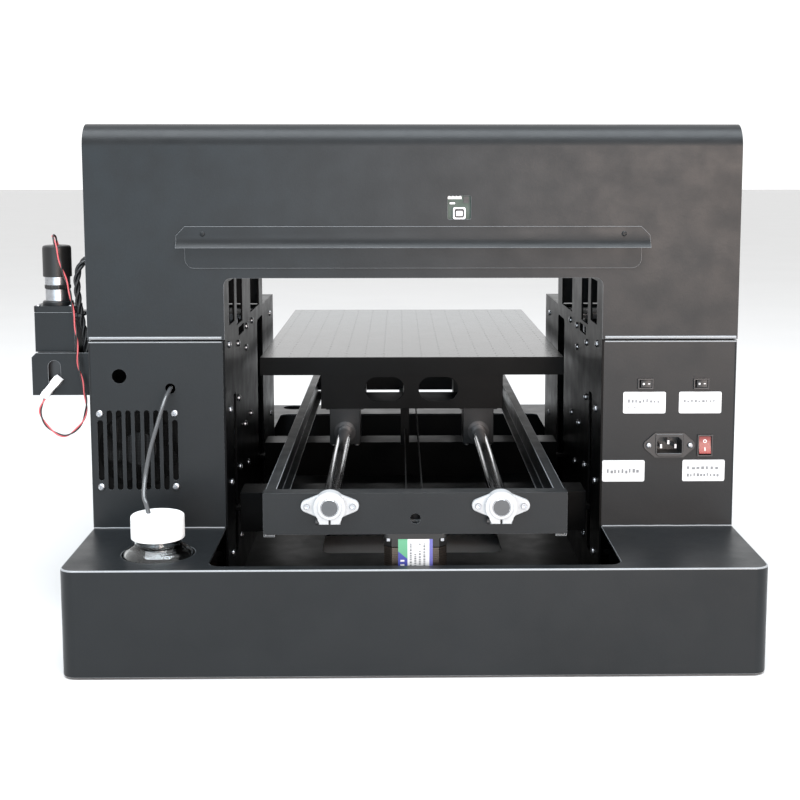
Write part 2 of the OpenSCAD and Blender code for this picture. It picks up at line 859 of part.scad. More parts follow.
module pulley(y, bore) {
    r = belt_r - belt_gap;
    difference() {
        union() {
            rod_z(0, y, r, belt_z - 1, belt_z + belt_w + 1);
            rod_z(0, y, r + 2.5, belt_z - 2, belt_z - 1);
            rod_z(0, y, r + 2.5, belt_z + belt_w + 1, belt_z + belt_w + 2);
        }
        rod_z(0, y, bore + run_gap, belt_z - 3, belt_z + belt_w + 3);
    }
}
module drive_pulley() {
    color(ALLOY)
        pulley(motor_y, 3.2);
}
module idler_pulley() {
    color(ALLOY)
        pulley(idler_y, 3);
}
module y_belt() {
    color(DARK)
        translate([0, 0, belt_z])
            linear_extrude(belt_w)
                difference() {
                    belt_outline(belt_r + belt_t);
                    belt_outline(belt_r);
                }
    color(STEEL) {
        rod_z(0, idler_y, 3, bar_low + 3, belt_z + belt_w + 3);
        block([-14, idler_y - 14, bar_low], [14, frame_far - bar_t, bar_low + 3]);
    }
}
module belt_outline(r) {
    for (y = [motor_y, idler_y])
        translate([0, y])
            circle(r);
    translate([-r, motor_y])
        square([2 * r, idler_y - motor_y]);
}

// Table
module carriage_box() {
    t = 2;
    color(BLACK)
        difference() {
            block([-box_w / 2, box_near, box_low], [box_w / 2, box_far, tray_low]);
            block([-box_w / 2 + t, box_near + t, box_low + t], [box_w / 2 - t, box_far - t, tray_low + EPS]);
            for (x = [-30, 29])
                along_y(box_near - EPS, box_far + EPS)
                    translate([x, (box_low + tray_low) / 2 + 2])
                        round_rect(43, 26, 12.9);
            block([-box_w / 2 + 40, box_near + 100, box_low - EPS], [box_w / 2 - 40, box_far - 100, box_low + 3]);
        }
}
module bearing_blocks() {
    color(ALLOY)
        for (x = [-rod_x, rod_x], y = block_y)
            difference() {
                union() {
                    block([x - 21, y - 22, box_low - 6], [x + 21, y + 22, box_low]);
                    block([x - 17, y - 22, rod_z - 14], [x + 17, y + 22, box_low - 6]);
                }
                rod_y(x, rod_z, rod_r + run_gap, y - 23, y + 23);
            }
}
module belt_clamp() {
    y0 = block_y[0] + 10;
    y1 = y0 + 26;
    run = belt_r + belt_t / 2;
    slit = belt_t / 2 + 0.35;
    color(BLACK) {
        block([-run + slit, y0, belt_z - 3], [-run + slit + 4, y1, box_low]);
        block([-run - slit - 4, y0, belt_z - 3], [-run - slit, y1, box_low]);
        block([-run - slit - 4, y0, belt_z + belt_w + 6], [-run + slit + 4, y1, box_low]);
    }
}
module table_tray() {
    t = 2;
    color(DARK)
        difference() {
            block([-table_w / 2, table_near, tray_low], [table_w / 2, table_near + table_l, table_z - 3]);
            block([-table_w / 2 + t, table_near + t, tray_low + t],
                  [table_w / 2 - t, table_near + table_l - t, table_z]);
        }
    color(DARK)
        for (x = [-110, 0, 110])
            block([x - 10, table_near + t, tray_low + t], [x + 10, table_near + table_l - t, table_z - 3]);
}
module table_plate() {
    color([0.3, 0.32, 0.34])
        block([-table_w / 2, table_near, table_z - 3], [table_w / 2, table_near + table_l, table_z]);
}

// Print mechanism
module gantry_posts() {
    color(BLACK)
        for (side = [-1, 1]) {
            x0 = side * (half_w - 15);
            x1 = side * (half_w - 50);
            difference() {
                block([min(x0, x1), beam_y, base_h], [max(x0, x1), beam_y + gantry_s, beam_z]);
                block([min(x0, x1) + 3, beam_y + 3, base_h - EPS], [max(x0, x1) - 3, beam_y + gantry_s + EPS, beam_z - 3]);
            }
        }
}
module gantry_beam() {
    color(ALLOY) {
        difference() {
            block([-half_w + 15, beam_y, beam_z], [half_w - 15, beam_y + gantry_s, beam_z + gantry_s]);
            block([-half_w, beam_y + 3, beam_z + 3], [half_w, beam_y + gantry_s - 3, beam_z + gantry_s - 3]);
        }
        block([-half_w + 20, rail_y, beam_z + 13], [half_w - 20, beam_y, beam_z + 27]);
        block([x_reach - 12, beam_y, beam_z + gantry_s], [x_reach + 8, beam_y + 10, x_axis_z + 12]);
        rod_y(x_reach, x_axis_z, 3, beam_y - 18, beam_y);
    }
}
module x_motor() {
    color(DARK) {
        along_y(beam_y, beam_y + 34)
            translate([-x_reach, x_axis_z])
                round_rect(lift_motor_s, lift_motor_s, 5);
        rod_y(-x_reach, x_axis_z, shaft_r, beam_y - 18, beam_y);
    }
}
module x_pulley(x, bore) {
    r = belt_r - belt_gap;
    difference() {
        union() {
            rod_y(x, x_axis_z, r, x_belt_y - 1, x_belt_y + belt_w + 1);
            rod_y(x, x_axis_z, r + 2.5, x_belt_y - 2, x_belt_y - 1);
            rod_y(x, x_axis_z, r + 2.5, x_belt_y + belt_w + 1, x_belt_y + belt_w + 2);
        }
        rod_y(x, x_axis_z, bore + run_gap, x_belt_y - 4, x_belt_y + belt_w + 4);
    }
}
module x_drive_pulley() {
    color(ALLOY)
        x_pulley(-x_reach, shaft_r);
}
module x_idler_pulley() {
    color(ALLOY)
        x_pulley(x_reach, 3);
}
module x_loop(r) {
    for (side = [-1, 1])
        translate([side * x_reach, x_axis_z])
            circle(r);
    translate([-x_reach, x_axis_z - r])
        square([2 * x_reach, 2 * r]);
}
module x_belt() {
    color(DARK)
        along_y(x_belt_y, x_belt_y + belt_w)
            difference() {
                x_loop(belt_r + belt_t);
                x_loop(belt_r);
            }
}
module print_carriage() {
    y0 = rail_y - 48;
    run = x_axis_z - belt_r - belt_t / 2;
    slit = belt_t / 2 + 0.35;
    z_top = beam_z + 34;
    color(BLACK) {
        difference() {
            block([park_x - 28, rail_y - 8, beam_z + 6], [park_x + 28, beam_y - 1, z_top]);
            block([park_x - 29, rail_y - 0.3, beam_z + 12.7], [park_x + 29, beam_y, beam_z + 27.3]);
        }
        block([park_x - 28, y0, head_z + 12], [park_x + 28, y0 + 3, z_top]);
        block([park_x - 28, y0 + 3, head_z + 12], [park_x - 25, rail_y - 8, z_top]);
        block([park_x + 25, y0 + 3, head_z + 12], [park_x + 28, rail_y - 8, z_top]);
        block([park_x - 28, rail_y - 11, head_z + 12], [park_x + 28, rail_y - 8, z_top]);
        block([park_x - 8, x_belt_y + 1, run + slit], [park_x + 8, x_belt_y + belt_w - 1, run + slit + 3]);
        block([park_x - 8, x_belt_y - 4, z_top], [park_x + 8, x_belt_y - 1, run + slit + 3]);
        block([park_x - 8, x_belt_y - 1, run + slit], [park_x + 8, x_belt_y + 1, run + slit + 3]);
        block([park_x - 8, x_belt_y - 1, z_top], [park_x + 8, x_belt_y + belt_w - 1, run - slit]);
    }
}
module print_head() {
    y0 = rail_y - 45;
    color([0.2, 0.2, 0.22]) {
        block([park_x - 24, y0, head_z], [park_x + 24, rail_y - 11, head_z + 12]);
        block([park_x - 22, y0, head_z + 12], [park_x + 22, rail_y - 12, beam_z + 10]);
    }
}
module uv_lamp() {
    y0 = rail_y - 43;
    color(ALLOY) {
        block([park_x - 46, y0, head_z + 4], [park_x - 28, rail_y - 13, head_z + 42]);
        for (i = [0 : 4])
            block([park_x - 46, y0 + 3 + 6 * i, head_z + 42], [park_x - 28, y0 + 5 + 6 * i, head_z + 52]);
    }
}
module cap_station() {
    y0 = rail_y - 42;
    y1 = rail_y - 12;
    top = head_z - 2;
    color(BLACK)
        difference() {
            block([park_x - 22, y0, top - 34], [park_x + 22, y1, top - 6]);
            block([park_x - 16, y0 + 5, top - 16], [park_x + 16, y1 - 5, top - 5]);
        }
    color(DARK)
        difference() {
            block([park_x - 20, y0 + 2, top - 6], [park_x + 20, y1 - 2, top]);
            block([park_x - 16, y0 + 5, top - 7], [park_x + 16, y1 - 5, top + EPS]);
        }
    color(BLACK)
        for (x = [-18, 12])
            block([park_x + x, y0 + 10, base_h], [park_x + x + 6, y0 + 20, top - 34]);
}
module power_supply() {
    color(STEEL)
        difference() {
            block([wall_x + 12, hood_far + 8, base_h], [half_w - 12, tower_far - 16, base_h + 42]);
            for (i = [0 : 7], k = [0 : 2])
                rod_z(wall_x + 28 + 10 * i, hood_far + 30 + 12 * k, 2, base_h + 38, base_h + 44);
        }
}

// Ink stirring unit
module ink_bracket() {
    x0 = -half_w;
    x1 = unit_x - 21;
    y0 = unit_y - unit_d / 2 - 8;
    y1 = unit_y + unit_d / 2 + 4;
    z0 = 222;
    z1 = 264;
    color(BLACK) {
        difference() {
            block([x1, y0, z0], [x0, y1, z1]);
            block([x1 + 2, y0 + 2, z0 + 2], [x0 - 2, y1 - 2, z1 + 1]);
            along_y(y0 - EPS, y0 + 3)
                translate([unit_x + 1, z0 + 21])
                    round_rect(12, 27, 5.9);
            translate([x1, unit_y, z1 + 2])
                rotate([0, 45, 0])
                    cube([9, unit_d * 2, 9], center = true);
        }
        block([x0 - 2, y0, z1], [x0, y1, 303]);
        difference() {
            block([unit_x - 19, unit_y - 20, z1], [unit_x + 20, unit_y + 20, 303]);
            block([unit_x - 17, unit_y - 18, z1 - 1], [unit_x + 18, unit_y + 18, 301]);
            rod_z(unit_x, unit_y, 6, 300, 304);
        }
        block([unit_x + 20, unit_y - 8, 299], [x0 - 2, unit_y + 8, 303]);
    }
}
module ink_tank() {
    color(DARK)
        translate([unit_x + 0.5, unit_y, 224])
            difference() {
                linear_extrude(40)
                    round_rect(37, unit_d - 1, 5);
                translate([0, 0, 2])
                    linear_extrude(40)
                        round_rect(33, unit_d - 6, 4);
            }
}
module stir_motor() {
    color(BLACK) {
        translate([unit_x, unit_y, 303])
            linear_extrude(6)
                difference() {
                    round_rect(40, 38, 3);
                    circle(5);
                }
        rod_z(unit_x, unit_y, 15, 309, 313);
    }
    color(STEEL) {
        rod_z(unit_x, unit_y, 12.4, 313, 337);
        rod_z(unit_x, unit_y, 13, 326, 328);
    }
    color(DARK)
        rod_z(unit_x, unit_y, 14, 337, 368);
}
module stir_paddle() {
    color(STEEL)
        rod_z(unit_x, unit_y, 2, 230, 308.5);
    color(WHITE) {
        block([unit_x - 12, unit_y - 1, 228], [unit_x + 12, unit_y + 1, 242]);
    }
}
module stir_lead() {
    color([0.6, 0.1, 0.1])
        cord(LEAD_ROUTE, [0.1, 1, 0.02], 3, 5);
    color(WHITE)
        translate([-354, unit_y - 33, 231])
            rotate([0, 40, 0])
                cube([8, 10, 24], center = true);
}
module side_cable() {
    color(DARK)
        cord(SIDE_ROUTE, [0, 1, 0], 7, 5);
}
module deck_cable() {
    color(DARK)
        cord(DECK_ROUTE, [0, 0, 1], 6, 4);
}

base_shell();
base_floor();
rubber_feet();
left_tower();
right_tower();
left_inner_wall();
right_inner_wall();
hood_shell();
hood_inner_panels();
rear_lip_plate();
usb_module();
power_inlet();
switch_bezels();
panel_labels();
body_screws();
fan_frame();
fan_rotor();
left_rocker();
right_rocker();
power_rocker();
waste_bottle();
bottle_cap();
waste_tube();
lift_motors();
lift_guides();
left_lift_screw();
right_lift_screw();
crossbeams();
end_bars();
side_rails();
guide_rods();
rod_supports();
motor_plate();
y_motor();
drive_pulley();
idler_pulley();
y_belt();
carriage_box();
bearing_blocks();
belt_clamp();
table_tray();
table_plate();
gantry_posts();
gantry_beam();
x_motor();
x_belt();
x_drive_pulley();
x_idler_pulley();
print_carriage();
print_head();
uv_lamp();
cap_station();
power_supply();
ink_bracket();
ink_tank();
stir_motor();
stir_paddle();
stir_lead();
side_cable();
deck_cable();
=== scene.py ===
"""Looks of a table-top flatbed UV printer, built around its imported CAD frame.

Shapes are made in millimetres and scaled to metres when a piece is finished.
"""

import json
import math
import random

import bmesh
import bpy
from mathutils import Matrix, Vector


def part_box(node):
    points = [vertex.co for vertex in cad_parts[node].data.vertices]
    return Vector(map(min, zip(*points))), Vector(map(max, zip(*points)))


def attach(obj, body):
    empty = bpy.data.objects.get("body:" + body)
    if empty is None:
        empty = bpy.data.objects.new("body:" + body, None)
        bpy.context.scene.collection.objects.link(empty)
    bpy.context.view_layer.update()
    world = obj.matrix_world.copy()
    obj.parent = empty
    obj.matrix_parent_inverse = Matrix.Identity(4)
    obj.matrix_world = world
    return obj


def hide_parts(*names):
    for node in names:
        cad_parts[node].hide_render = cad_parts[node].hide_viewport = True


MM = 0.001
TAU = 2 * math.pi
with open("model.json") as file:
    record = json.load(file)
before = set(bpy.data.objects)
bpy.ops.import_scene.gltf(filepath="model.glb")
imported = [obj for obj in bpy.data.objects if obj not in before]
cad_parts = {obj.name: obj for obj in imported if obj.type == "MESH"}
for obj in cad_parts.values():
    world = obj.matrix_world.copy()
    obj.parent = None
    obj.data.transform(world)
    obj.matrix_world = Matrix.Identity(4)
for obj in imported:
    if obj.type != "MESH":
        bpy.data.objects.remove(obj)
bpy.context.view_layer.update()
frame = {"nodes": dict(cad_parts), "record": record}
NODES = frame["nodes"]
BODY_OF = {n: b for b, ns in frame["record"]["behaviour"]["bodies"].items() for n in ns}
SLOT_OF = {s["node"]: s["material_slot"] for s in frame["record"]["subparts"]}


# ---------------------------------------------------------------- camera
def make_camera():
    """The view from the connection side: a little above the table, tipped 7 degrees down."""
    data = bpy.data.cameras.new("camera")
    data.sensor_width = 36
    data.lens = 59.92
    data.shift_x = -0.0261
    data.shift_y = -0.0831
    data.clip_start = 0.05
    data.clip_end = 60
    cam = bpy.data.objects.new("camera", data)
    cam.location = (-0.0143, -1.5303, 0.4411)
    cam.rotation_euler = (math.radians(90 - 6.973), 0, math.radians(-0.956))
    bpy.context.scene.collection.objects.link(cam)
    bpy.context.scene.camera = cam


make_camera()


# ---------------------------------------------------------------- materials
class Surface:
    """One procedural material, built up from noise, ramps and bumps."""

    def __init__(self, name):
        self.material = bpy.data.materials.new(name)
        self.material.use_nodes = True
        self.tree = self.material.node_tree
        self.tree.nodes.clear()
        out = self.tree.nodes.new("ShaderNodeOutputMaterial")
        self.shader = self.tree.nodes.new("ShaderNodeBsdfPrincipled")
        self.tree.links.new(self.shader.outputs[0], out.inputs[0])
        self.coord = self.tree.nodes.new("ShaderNodeTexCoord").outputs["Object"]

    def link(self, a, b):
        self.tree.links.new(a, b)

    def set(self, **values):
        for key, value in values.items():
            self.shader.inputs[key.replace("_", " ")].default_value = value

    def add(self, kind, links, **values):
        """Adds a shader node, sets its input values and links its other inputs."""
        node = self.tree.nodes.new("ShaderNode" + kind)
        for key, value in values.items():
            node.inputs[key.replace("_", " ")].default_value = value
        for key, source in links.items():
            self.link(source, node.inputs[key])
        return node.outputs

    def stretched(self, scale):
        return self.add("Mapping", {"Vector": self.coord}, Scale=scale)[0]

    def noise(self, scale, detail=3.0, rough=0.55, vector=None):
        links = {"Vector": vector or self.coord}
        return self.add("TexNoise", links, Scale=scale, Detail=detail, Roughness=rough)["Fac"]

    def cells(self, scale):
        return self.add("TexVoronoi", {"Vector": self.coord}, Scale=scale)["Distance"]

    def ramp(self, fac, low, high, a=0.3, b=0.7):
        node = self.tree.nodes.new("ShaderNodeValToRGB")
        node.color_ramp.elements[0].position = a
        node.color_ramp.elements[1].position = b
        node.color_ramp.elements[0].color = (*low, 1)
        node.color_ramp.elements[1].color = (*high, 1)
        self.link(fac, node.inputs[0])
        return node.outputs[0]

    def range(self, fac, low, high, a=0.3, b=0.7):
        return self.add("MapRange", {"Value": fac}, From_Min=a, From_Max=b, To_Min=low, To_Max=high)[0]

    def mix(self, fac, under, rgb):
        node = self.tree.nodes.new("ShaderNodeMix")
        node.data_type = "RGBA"
        self.link(fac, node.inputs[0])
        self.link(under, node.inputs[6])
        node.inputs[7].default_value = (*rgb, 1)
        return node.outputs[2]

    def bump(self, height, strength, distance, under=None):
        links = {"Height": height, "Normal": under} if under else {"Height": height}
        return self.add("Bump", links, Strength=strength, Distance=distance)[0]

    def edge_highlight_mask(self):
        """A painted edge highlight mask: from 0 to 1 on convex edges, from the mesh's own pointiness."""
        node = self.tree.nodes.new("ShaderNodeNewGeometry")
        return self.range(node.outputs["Pointiness"], 0, 0.35, 0.505, 0.56)

    def finish(self, color, rough, normal):
        self.link(color, self.shader.inputs["Base Color"])
        self.link(rough, self.shader.inputs["Roughness"])
        self.link(normal, self.shader.inputs["Normal"])
        return self.material


def shade(rgb, k):
    return tuple(min(1.0, c * k) for c in rgb)


def powder_coat(name, rgb, rough=0.4, grain=1000, depth=0.3, gloss=0.4, cloud=1.0):
    """Oven-baked powder paint: fine orange peel, soft mottling and tiny specks."""
    m = Surface(name)
    base = m.ramp(m.noise(9, 4, 0.6), shade(rgb, 0.88), shade(rgb, 1.14))
    base = m.mix(m.range(m.noise(grain * 0.8, 2, 0.7), 0.0, 0.4, 0.55, 0.8), base, shade(rgb, 2.2))
    peel = m.bump(m.noise(grain * 0.35, 2), 0.12 * cloud, 0.0004)
    m.set(Specular_IOR_Level=gloss)
    rough_map = m.range(m.noise(38, 3), rough - 0.04 * cloud, rough + 0.06 * cloud)
    return m.finish(base, rough_map, m.bump(m.noise(grain, 2, 0.6), depth, 0.00012, peel))


def moulded(name, rgb, rough=0.4, grain=1600, depth=0.12, cloud=0.12, gloss=0.5, coat=0):
    """Moulded plastic: a light spark-eroded grain and slight clouding."""
    m = Surface(name)
    base = m.ramp(m.noise(30, 4), shade(rgb, 1 - cloud), shade(rgb, 1 + cloud * 0.6))
    # Convex edges are lightened by half again: a painted edge highlight.
    base = m.mix(m.edge_highlight_mask(), base, shade(rgb, 1.5))
    m.set(Specular_IOR_Level=gloss, Coat_Weight=coat, Coat_Roughness=0.08)
    rough_map = m.range(m.noise(120, 3), rough - 0.06, rough + 0.08)
    return m.finish(base, rough_map, m.bump(m.noise(grain, 2), depth, 0.0001))


def bare_metal(name, rgb, rough=0.3, stretch=(1, 1, 1), streak=260, depth=0.08):
    """Bare or plated metal; stretch draws its marks out along an axis."""
    m = Surface(name)
    lines = m.noise(streak, 4, 0.6, m.stretched(stretch))
    base = m.ramp(lines, shade(rgb, 0.88), shade(rgb, 1.06))
    base = m.mix(m.range(m.noise(24, 3), 0.0, 0.35), base, shade(rgb, 0.8))
    m.set(Metallic=1.0)
    rough_map = m.range(lines, rough - 0.05, rough + 0.07)
    return m.finish(base, rough_map, m.bump(lines, depth, 0.0001))


def die_cast(name, rgb, metal=0.7):
    """Bright die-cast alloy: a pebbled skin with a few darker pits."""
    m = Surface(name)
    skin = m.noise(520, 4, 0.65)
    base = m.ramp(m.noise(60, 4), shade(rgb, 0.92), shade(rgb, 1.04))
    base = m.mix(m.range(m.cells(700), 0.35, 0.0, 0.0, 0.25), base, shade(rgb, 0.6))
    m.set(Metallic=metal)
    return m.finish(base, m.range(skin, 0.28, 0.42), m.bump(skin, 0.22, 0.00015))


def soft_rubber(name, rgb, rough=0.55, gloss=0.35):
    m = Surface(name)
    base = m.ramp(m.noise(80, 4), shade(rgb, 0.8), shade(rgb, 1.3))
    m.set(Specular_IOR_Level=gloss)
    rough_map = m.range(m.noise(150, 3), rough - 0.08, rough + 0.1)
    return m.finish(base, rough_map, m.bump(m.noise(1300, 3), 0.2, 0.0001))


def clear_plastic(name, rgb, rough=0.04, ior=1.47, through=1.0):
    """Clear moulded plastic with a faint flow ripple."""
    m = Surface(name)
    base = m.ramp(m.noise(40, 2), shade(rgb, 0.95), rgb)
    m.set(Transmission_Weight=through, IOR=ior)
    rough_map = m.range(m.noise(90, 3), rough, rough + 0.05)
    return m.finish(base, rough_map, m.bump(m.noise(55, 2), 0.1, 0.0005))


def printed_film(name, rgb, rough=0.4):
    m = Surface(name)
    base = m.ramp(m.noise(70, 3), shade(rgb, 0.96), rgb)
    rough_map = m.range(m.noise(200, 3), rough - 0.05, rough + 0.08)
    return m.finish(base, rough_map, m.bump(m.noise(420, 2), 0.05, 0.0002))


# How each material is made: its kind, its name, its colour, then the values of that kind.
RECIPES = (
    (powder_coat, "body_black", (0.0082, 0.0096, 0.0108), 0.35, 1000, 0.3, 0.24),
    # Light grey for the eased edges of black-painted parts: painted edge highlights.
    (powder_coat, "body_edge", (0.2, 0.21, 0.22), 0.3, 1000, 0.3, 0.5),
    # Near-black for the inner parts and recesses: partly their own black, partly painted shade, set far below
    # the outer paint to stand for the shade in the bays.
    (powder_coat, "inner_black", (0.0014, 0.0015, 0.0016), 0.34, 1000, 0.3, 0.08),
    (soft_rubber, "foot_rubber", (0.012, 0.012, 0.012), 0.7),
    (bare_metal, "zinc_steel", (0.42, 0.43, 0.45), 0.3),
    (bare_metal, "chrome", (0.86, 0.87, 0.89), 0.1, (1, 0.03, 1), 500, 0.02),
    (bare_metal, "rod_end", (0.1, 0.105, 0.11), 0.5),
    (die_cast, "cast_alloy", (0.4, 0.41, 0.42), 0.1),
    (moulded, "black_plastic", (0.011, 0.011, 0.012), 0.34),
    (moulded, "white_plastic", (0.8, 0.8, 0.8), 0.32, 900, 0.05, 0.03),
    (moulded, "red_plastic", (0.17, 0.012, 0.012), 0.3, 900, 0.03, 0.15, 0.4, 0.1),
    (clear_plastic, "clear_plastic", (0.93, 0.97, 0.98)),
    (moulded, "fan_black", (0.0012, 0.0012, 0.0012), 0.6, 1600, 0.12, 0.12, 0.05),
    (printed_film, "label_white", (0.58, 0.59, 0.6)),
    (printed_film, "print_grey", (0.16, 0.17, 0.18)),
    (printed_film, "mark_white", (0.8, 0.8, 0.8)),
    (powder_coat, "motor_black", (0.008, 0.008, 0.008), 0.4, 1500, 0.25),
    (bare_metal, "motor_stack", (0.1, 0.085, 0.075), 0.4, (1, 1, 0.05), 300),
    (printed_film, "label_green", (0.09, 0.3, 0.17)),
    (printed_film, "label_blue", (0.04, 0.05, 0.26)),
    (printed_film, "label_violet", (0.1, 0.1, 0.33)),
    (soft_rubber, "belt_rubber", (0.01, 0.01, 0.01), 0.5),
    (powder_coat, "table_dark", (0.0025, 0.0028, 0.003), 0.34, 1800, 0.12, 0.07),
    (powder_coat, "table_satin", (0.018, 0.024, 0.027), 0.2, 1800, 0.02, 0.8, 0.12),
    (soft_rubber, "cable_black", (0.011, 0.012, 0.013), 0.36, 0.5),
    (moulded, "lead_red", (0.5, 0.09, 0.1), 0.35),
    (moulded, "tube_grey", (0.045, 0.047, 0.05), 0.16, 700, 0.04, 0.12, 0.5, 0.3),
    (moulded, "board_green", (0.006, 0.03, 0.016), 0.35),
    (moulded, "tie_white", (0.8, 0.8, 0.78), 0.4),
)
MATS = {name: make(name, *values) for make, name, *values in RECIPES}


# ---------------------------------------------------------------- shapes
def box(node):
    """A CAD node's low and high corners in millimetres."""
    low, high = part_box(node)
    return Vector(low) / MM, Vector(high) / MM


def middle(node):
    low, high = box(node)
    return (low + high) / 2


def begin(node):
    """An empty mesh for a node, with the node's low and high corners and its middle."""
    low, high = box(node)
    return bmesh.new(), low, high, (low + high) / 2


def turned(x, y, h, axis):
    """A point x, y across and h along an axis."""
    return Vector({"Z": (x, y, h), "Y": (x, h, y), "X": (h, x, y)}[axis])


def skin(bm, rings, mat=0, caps=True, loop=False):
    """Joins equal rings of points with quads; caps closes the ends, loop joins last to first."""
    made = [[bm.verts.new(p) for p in ring] for ring in rings]
    n = len(made[0])
    pairs = list(zip(made, made[1:]))
    if loop:
        pairs.append((made[-1], made[0]))
    for a, b in pairs:
        for k in range(n):
            face = bm.faces.new((a[k], a[(k + 1) % n], b[(k + 1) % n], b[k]))
            face.material_index = mat
    if caps and not loop:
        bm.faces.new(list(reversed(made[0]))).material_index = mat
        bm.faces.new(made[-1]).material_index = mat


def lathe(bm, profile, at, axis="Z", steps=48, mat=0, loop=False, wave=None):
    """Turns (radius, height) pairs about an axis through at; wave(angle) varies the radius."""
    rings = []
    for r, h in profile:
        ring = []
        for k in range(steps):
            a = TAU * k / steps
            q = r + (wave(a, h) if wave else 0)
            ring.append(Vector(at) + turned(q * math.cos(a), q * math.sin(a), h, axis))
        rings.append(ring)
    skin(bm, rings, mat, loop=loop)


def arc(cx, cy, r, start, end, n=6):
    """Points of an arc, its angles in degrees, both ends included."""
    steps = [math.radians(start + (end - start) * k / n) for k in range(n + 1)]
    return [(cx + r * math.cos(a), cy + r * math.sin(a)) for a in steps]


def round_outline(w, h, r, at=(0, 0), n=5):
    """A rectangle with round corners, counterclockwise."""
    x, y = w / 2 - r, h / 2 - r
    corners = ((x, y, 0), (-x, y, 90), (-x, -y, 180), (x, -y, 270))
    return [(at[0] + p, at[1] + q) for cx, cy, a in corners for p, q in arc(cx, cy, r, a, a + 90, n)]


def slab(bm, outline, low, high, axis="Y", ease=0.0, mat=0, segments=2):
    """Extrudes a flat outline from low to high along an axis, with both its rims eased."""
    rims = [[bm.verts.new(turned(x, y, h, axis)) for x, y in outline] for h in (low, high)]
    n = len(outline)
    faces = [bm.faces.new(list(reversed(rims[0]))), bm.faces.new(rims[1])]
    edges = [e for f in faces for e in f.edges]
    for k in range(n):
        faces.append(bm.faces.new((rims[0][k], rims[0][(k + 1) % n], rims[1][(k + 1) % n], rims[1][k])))
    for face in faces:
        face.material_index = mat
    if ease:
        bevel(bm, edges, ease, segments)


def block(bm, low, high, ease=0.0, mat=0, segments=2):
    """A box between two corners with all its edges eased."""
    low, high = Vector(low), Vector(high)
    outline = [(low.x, low.y), (high.x, low.y), (high.x, high.y), (low.x, high.y)]
    first = len(bm.faces)
    slab(bm, outline, low.z, high.z, "Z", 0, mat)
    bm.faces.ensure_lookup_table()
    if ease:
        bevel(bm, list(dict.fromkeys(e for f in bm.faces[first:] for e in f.edges)), ease, segments)


def bevel(bm, edges, width, segments=2, mat=-1):
    if edges:
        bmesh.ops.bevel(bm, geom=edges, offset=width, offset_type="OFFSET", segments=segments,
                        profile=0.5, affect="EDGES", clamp_overlap=True, loop_slide=True, material=mat)


def spline(a, b, c, d, t):
    """A Catmull-Rom curve from b to c."""
    bend = 2 * a - 5 * b + 4 * c - d
    return 0.5 * (2 * b + (c - a) * t + bend * t * t + (3 * b - a - 3 * c + d) * t * t * t)


def smooth(route, steps):
    p = [Vector(q) for q in route]
    last = len(p) - 1
    points = []
    for i in range(last):
        four = [p[max(0, min(last, i + k))] for k in (-1, 0, 1, 2)]
        points += [spline(*four, k / steps) for k in range(steps)]
    return points + [p[last]]


def tube(bm, points, radius, n=12, mat=0, offset=0.0, twist=0.0, start=0.0):
    """A tube along points; offset and twist wind it round them as one wire of a pair."""
    side = (points[1] - points[0]).orthogonal().normalized()
    rings = []
    run = 0.0
    for i, p in enumerate(points):
        ahead = (points[min(i + 1, len(points) - 1)] - points[max(i - 1, 0)]).normalized()
        side = (side - ahead * side.dot(ahead)).normalized()
        other = ahead.cross(side)
        run += (p - points[max(i - 1, 0)]).length
        spin = start + twist * run
        centre = p + offset * (math.cos(spin) * side + math.sin(spin) * other)
        rings.append(circle(centre, side, other, radius, n))
    skin(bm, rings, mat)


def circle(at, across, up, r, steps):
    """Points round a circle in the plane of two directions."""
    angles = [TAU * k / steps for k in range(steps)]
    return [at + r * (math.cos(a) * across + math.sin(a) * up) for a in angles]


def path_length(points):
    return sum((b - a).length for a, b in zip(points, points[1:]))


def corner_normals(bm):
    """A normal for each corner, weighted by face area and kept apart by the sharp edges."""
    normals = []
    for face in bm.faces:
        for corner in face.loops:
            near = [face]
            for reached in near:
                for edge in reached.edges:
                    if edge.smooth and corner.vert in edge.verts:
                        for other in edge.link_faces:
                            if other not in near and other.normal.dot(face.normal) > 0.6:
                                near.append(other)
            total = sum((f.normal * f.calc_area() ** 2 for f in near), Vector())
            normals.append(total.normalized() if total.length > 0 else face.normal)
    return normals


def part_wide_faces(bm, wide=2e-3):
    """Marks a wide flat face's edges sharp at the corners where a steep face meets it."""
    for face in bm.faces:
        if face.calc_area() > wide:
            for corner in face.loops:
                if any(f.normal.dot(face.normal) < 0.6 for f in corner.vert.link_faces):
                    corner.edge.smooth = False
                    corner.link_loop_prev.edge.smooth = False


def to_piece(name, bm, mats, node=None, body=None, smooth_deg=38, slot=None, replace=True):
    """Makes the mesh a piece that rides on a body and, where node is given, stands for it."""
    bmesh.ops.recalc_face_normals(bm, faces=bm.faces)
    bmesh.ops.scale(bm, vec=(MM, MM, MM), verts=bm.verts)
    limit = math.radians(smooth_deg)
    for face in bm.faces:
        face.smooth = True
    for edge in bm.edges:
        edge.smooth = len(edge.link_faces) == 2 and edge.calc_face_angle(0) < limit
    part_wide_faces(bm)
    normals = corner_normals(bm)
    mesh = bpy.data.meshes.new(name)
    bm.to_mesh(mesh)
    bm.free()
    mesh.normals_split_custom_set(normals)
    mats = mats if isinstance(mats, (list, tuple)) else [mats]
    for m in mats:
        mesh.materials.append(MATS[m])
    piece = bpy.data.objects.new(name, mesh)
    bpy.context.scene.collection.objects.link(piece)
    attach(piece, body or BODY_OF[node])
    slot or (SLOT_OF[node] if node else mats[0])
    if node and replace:
        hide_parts(node)
    return piece


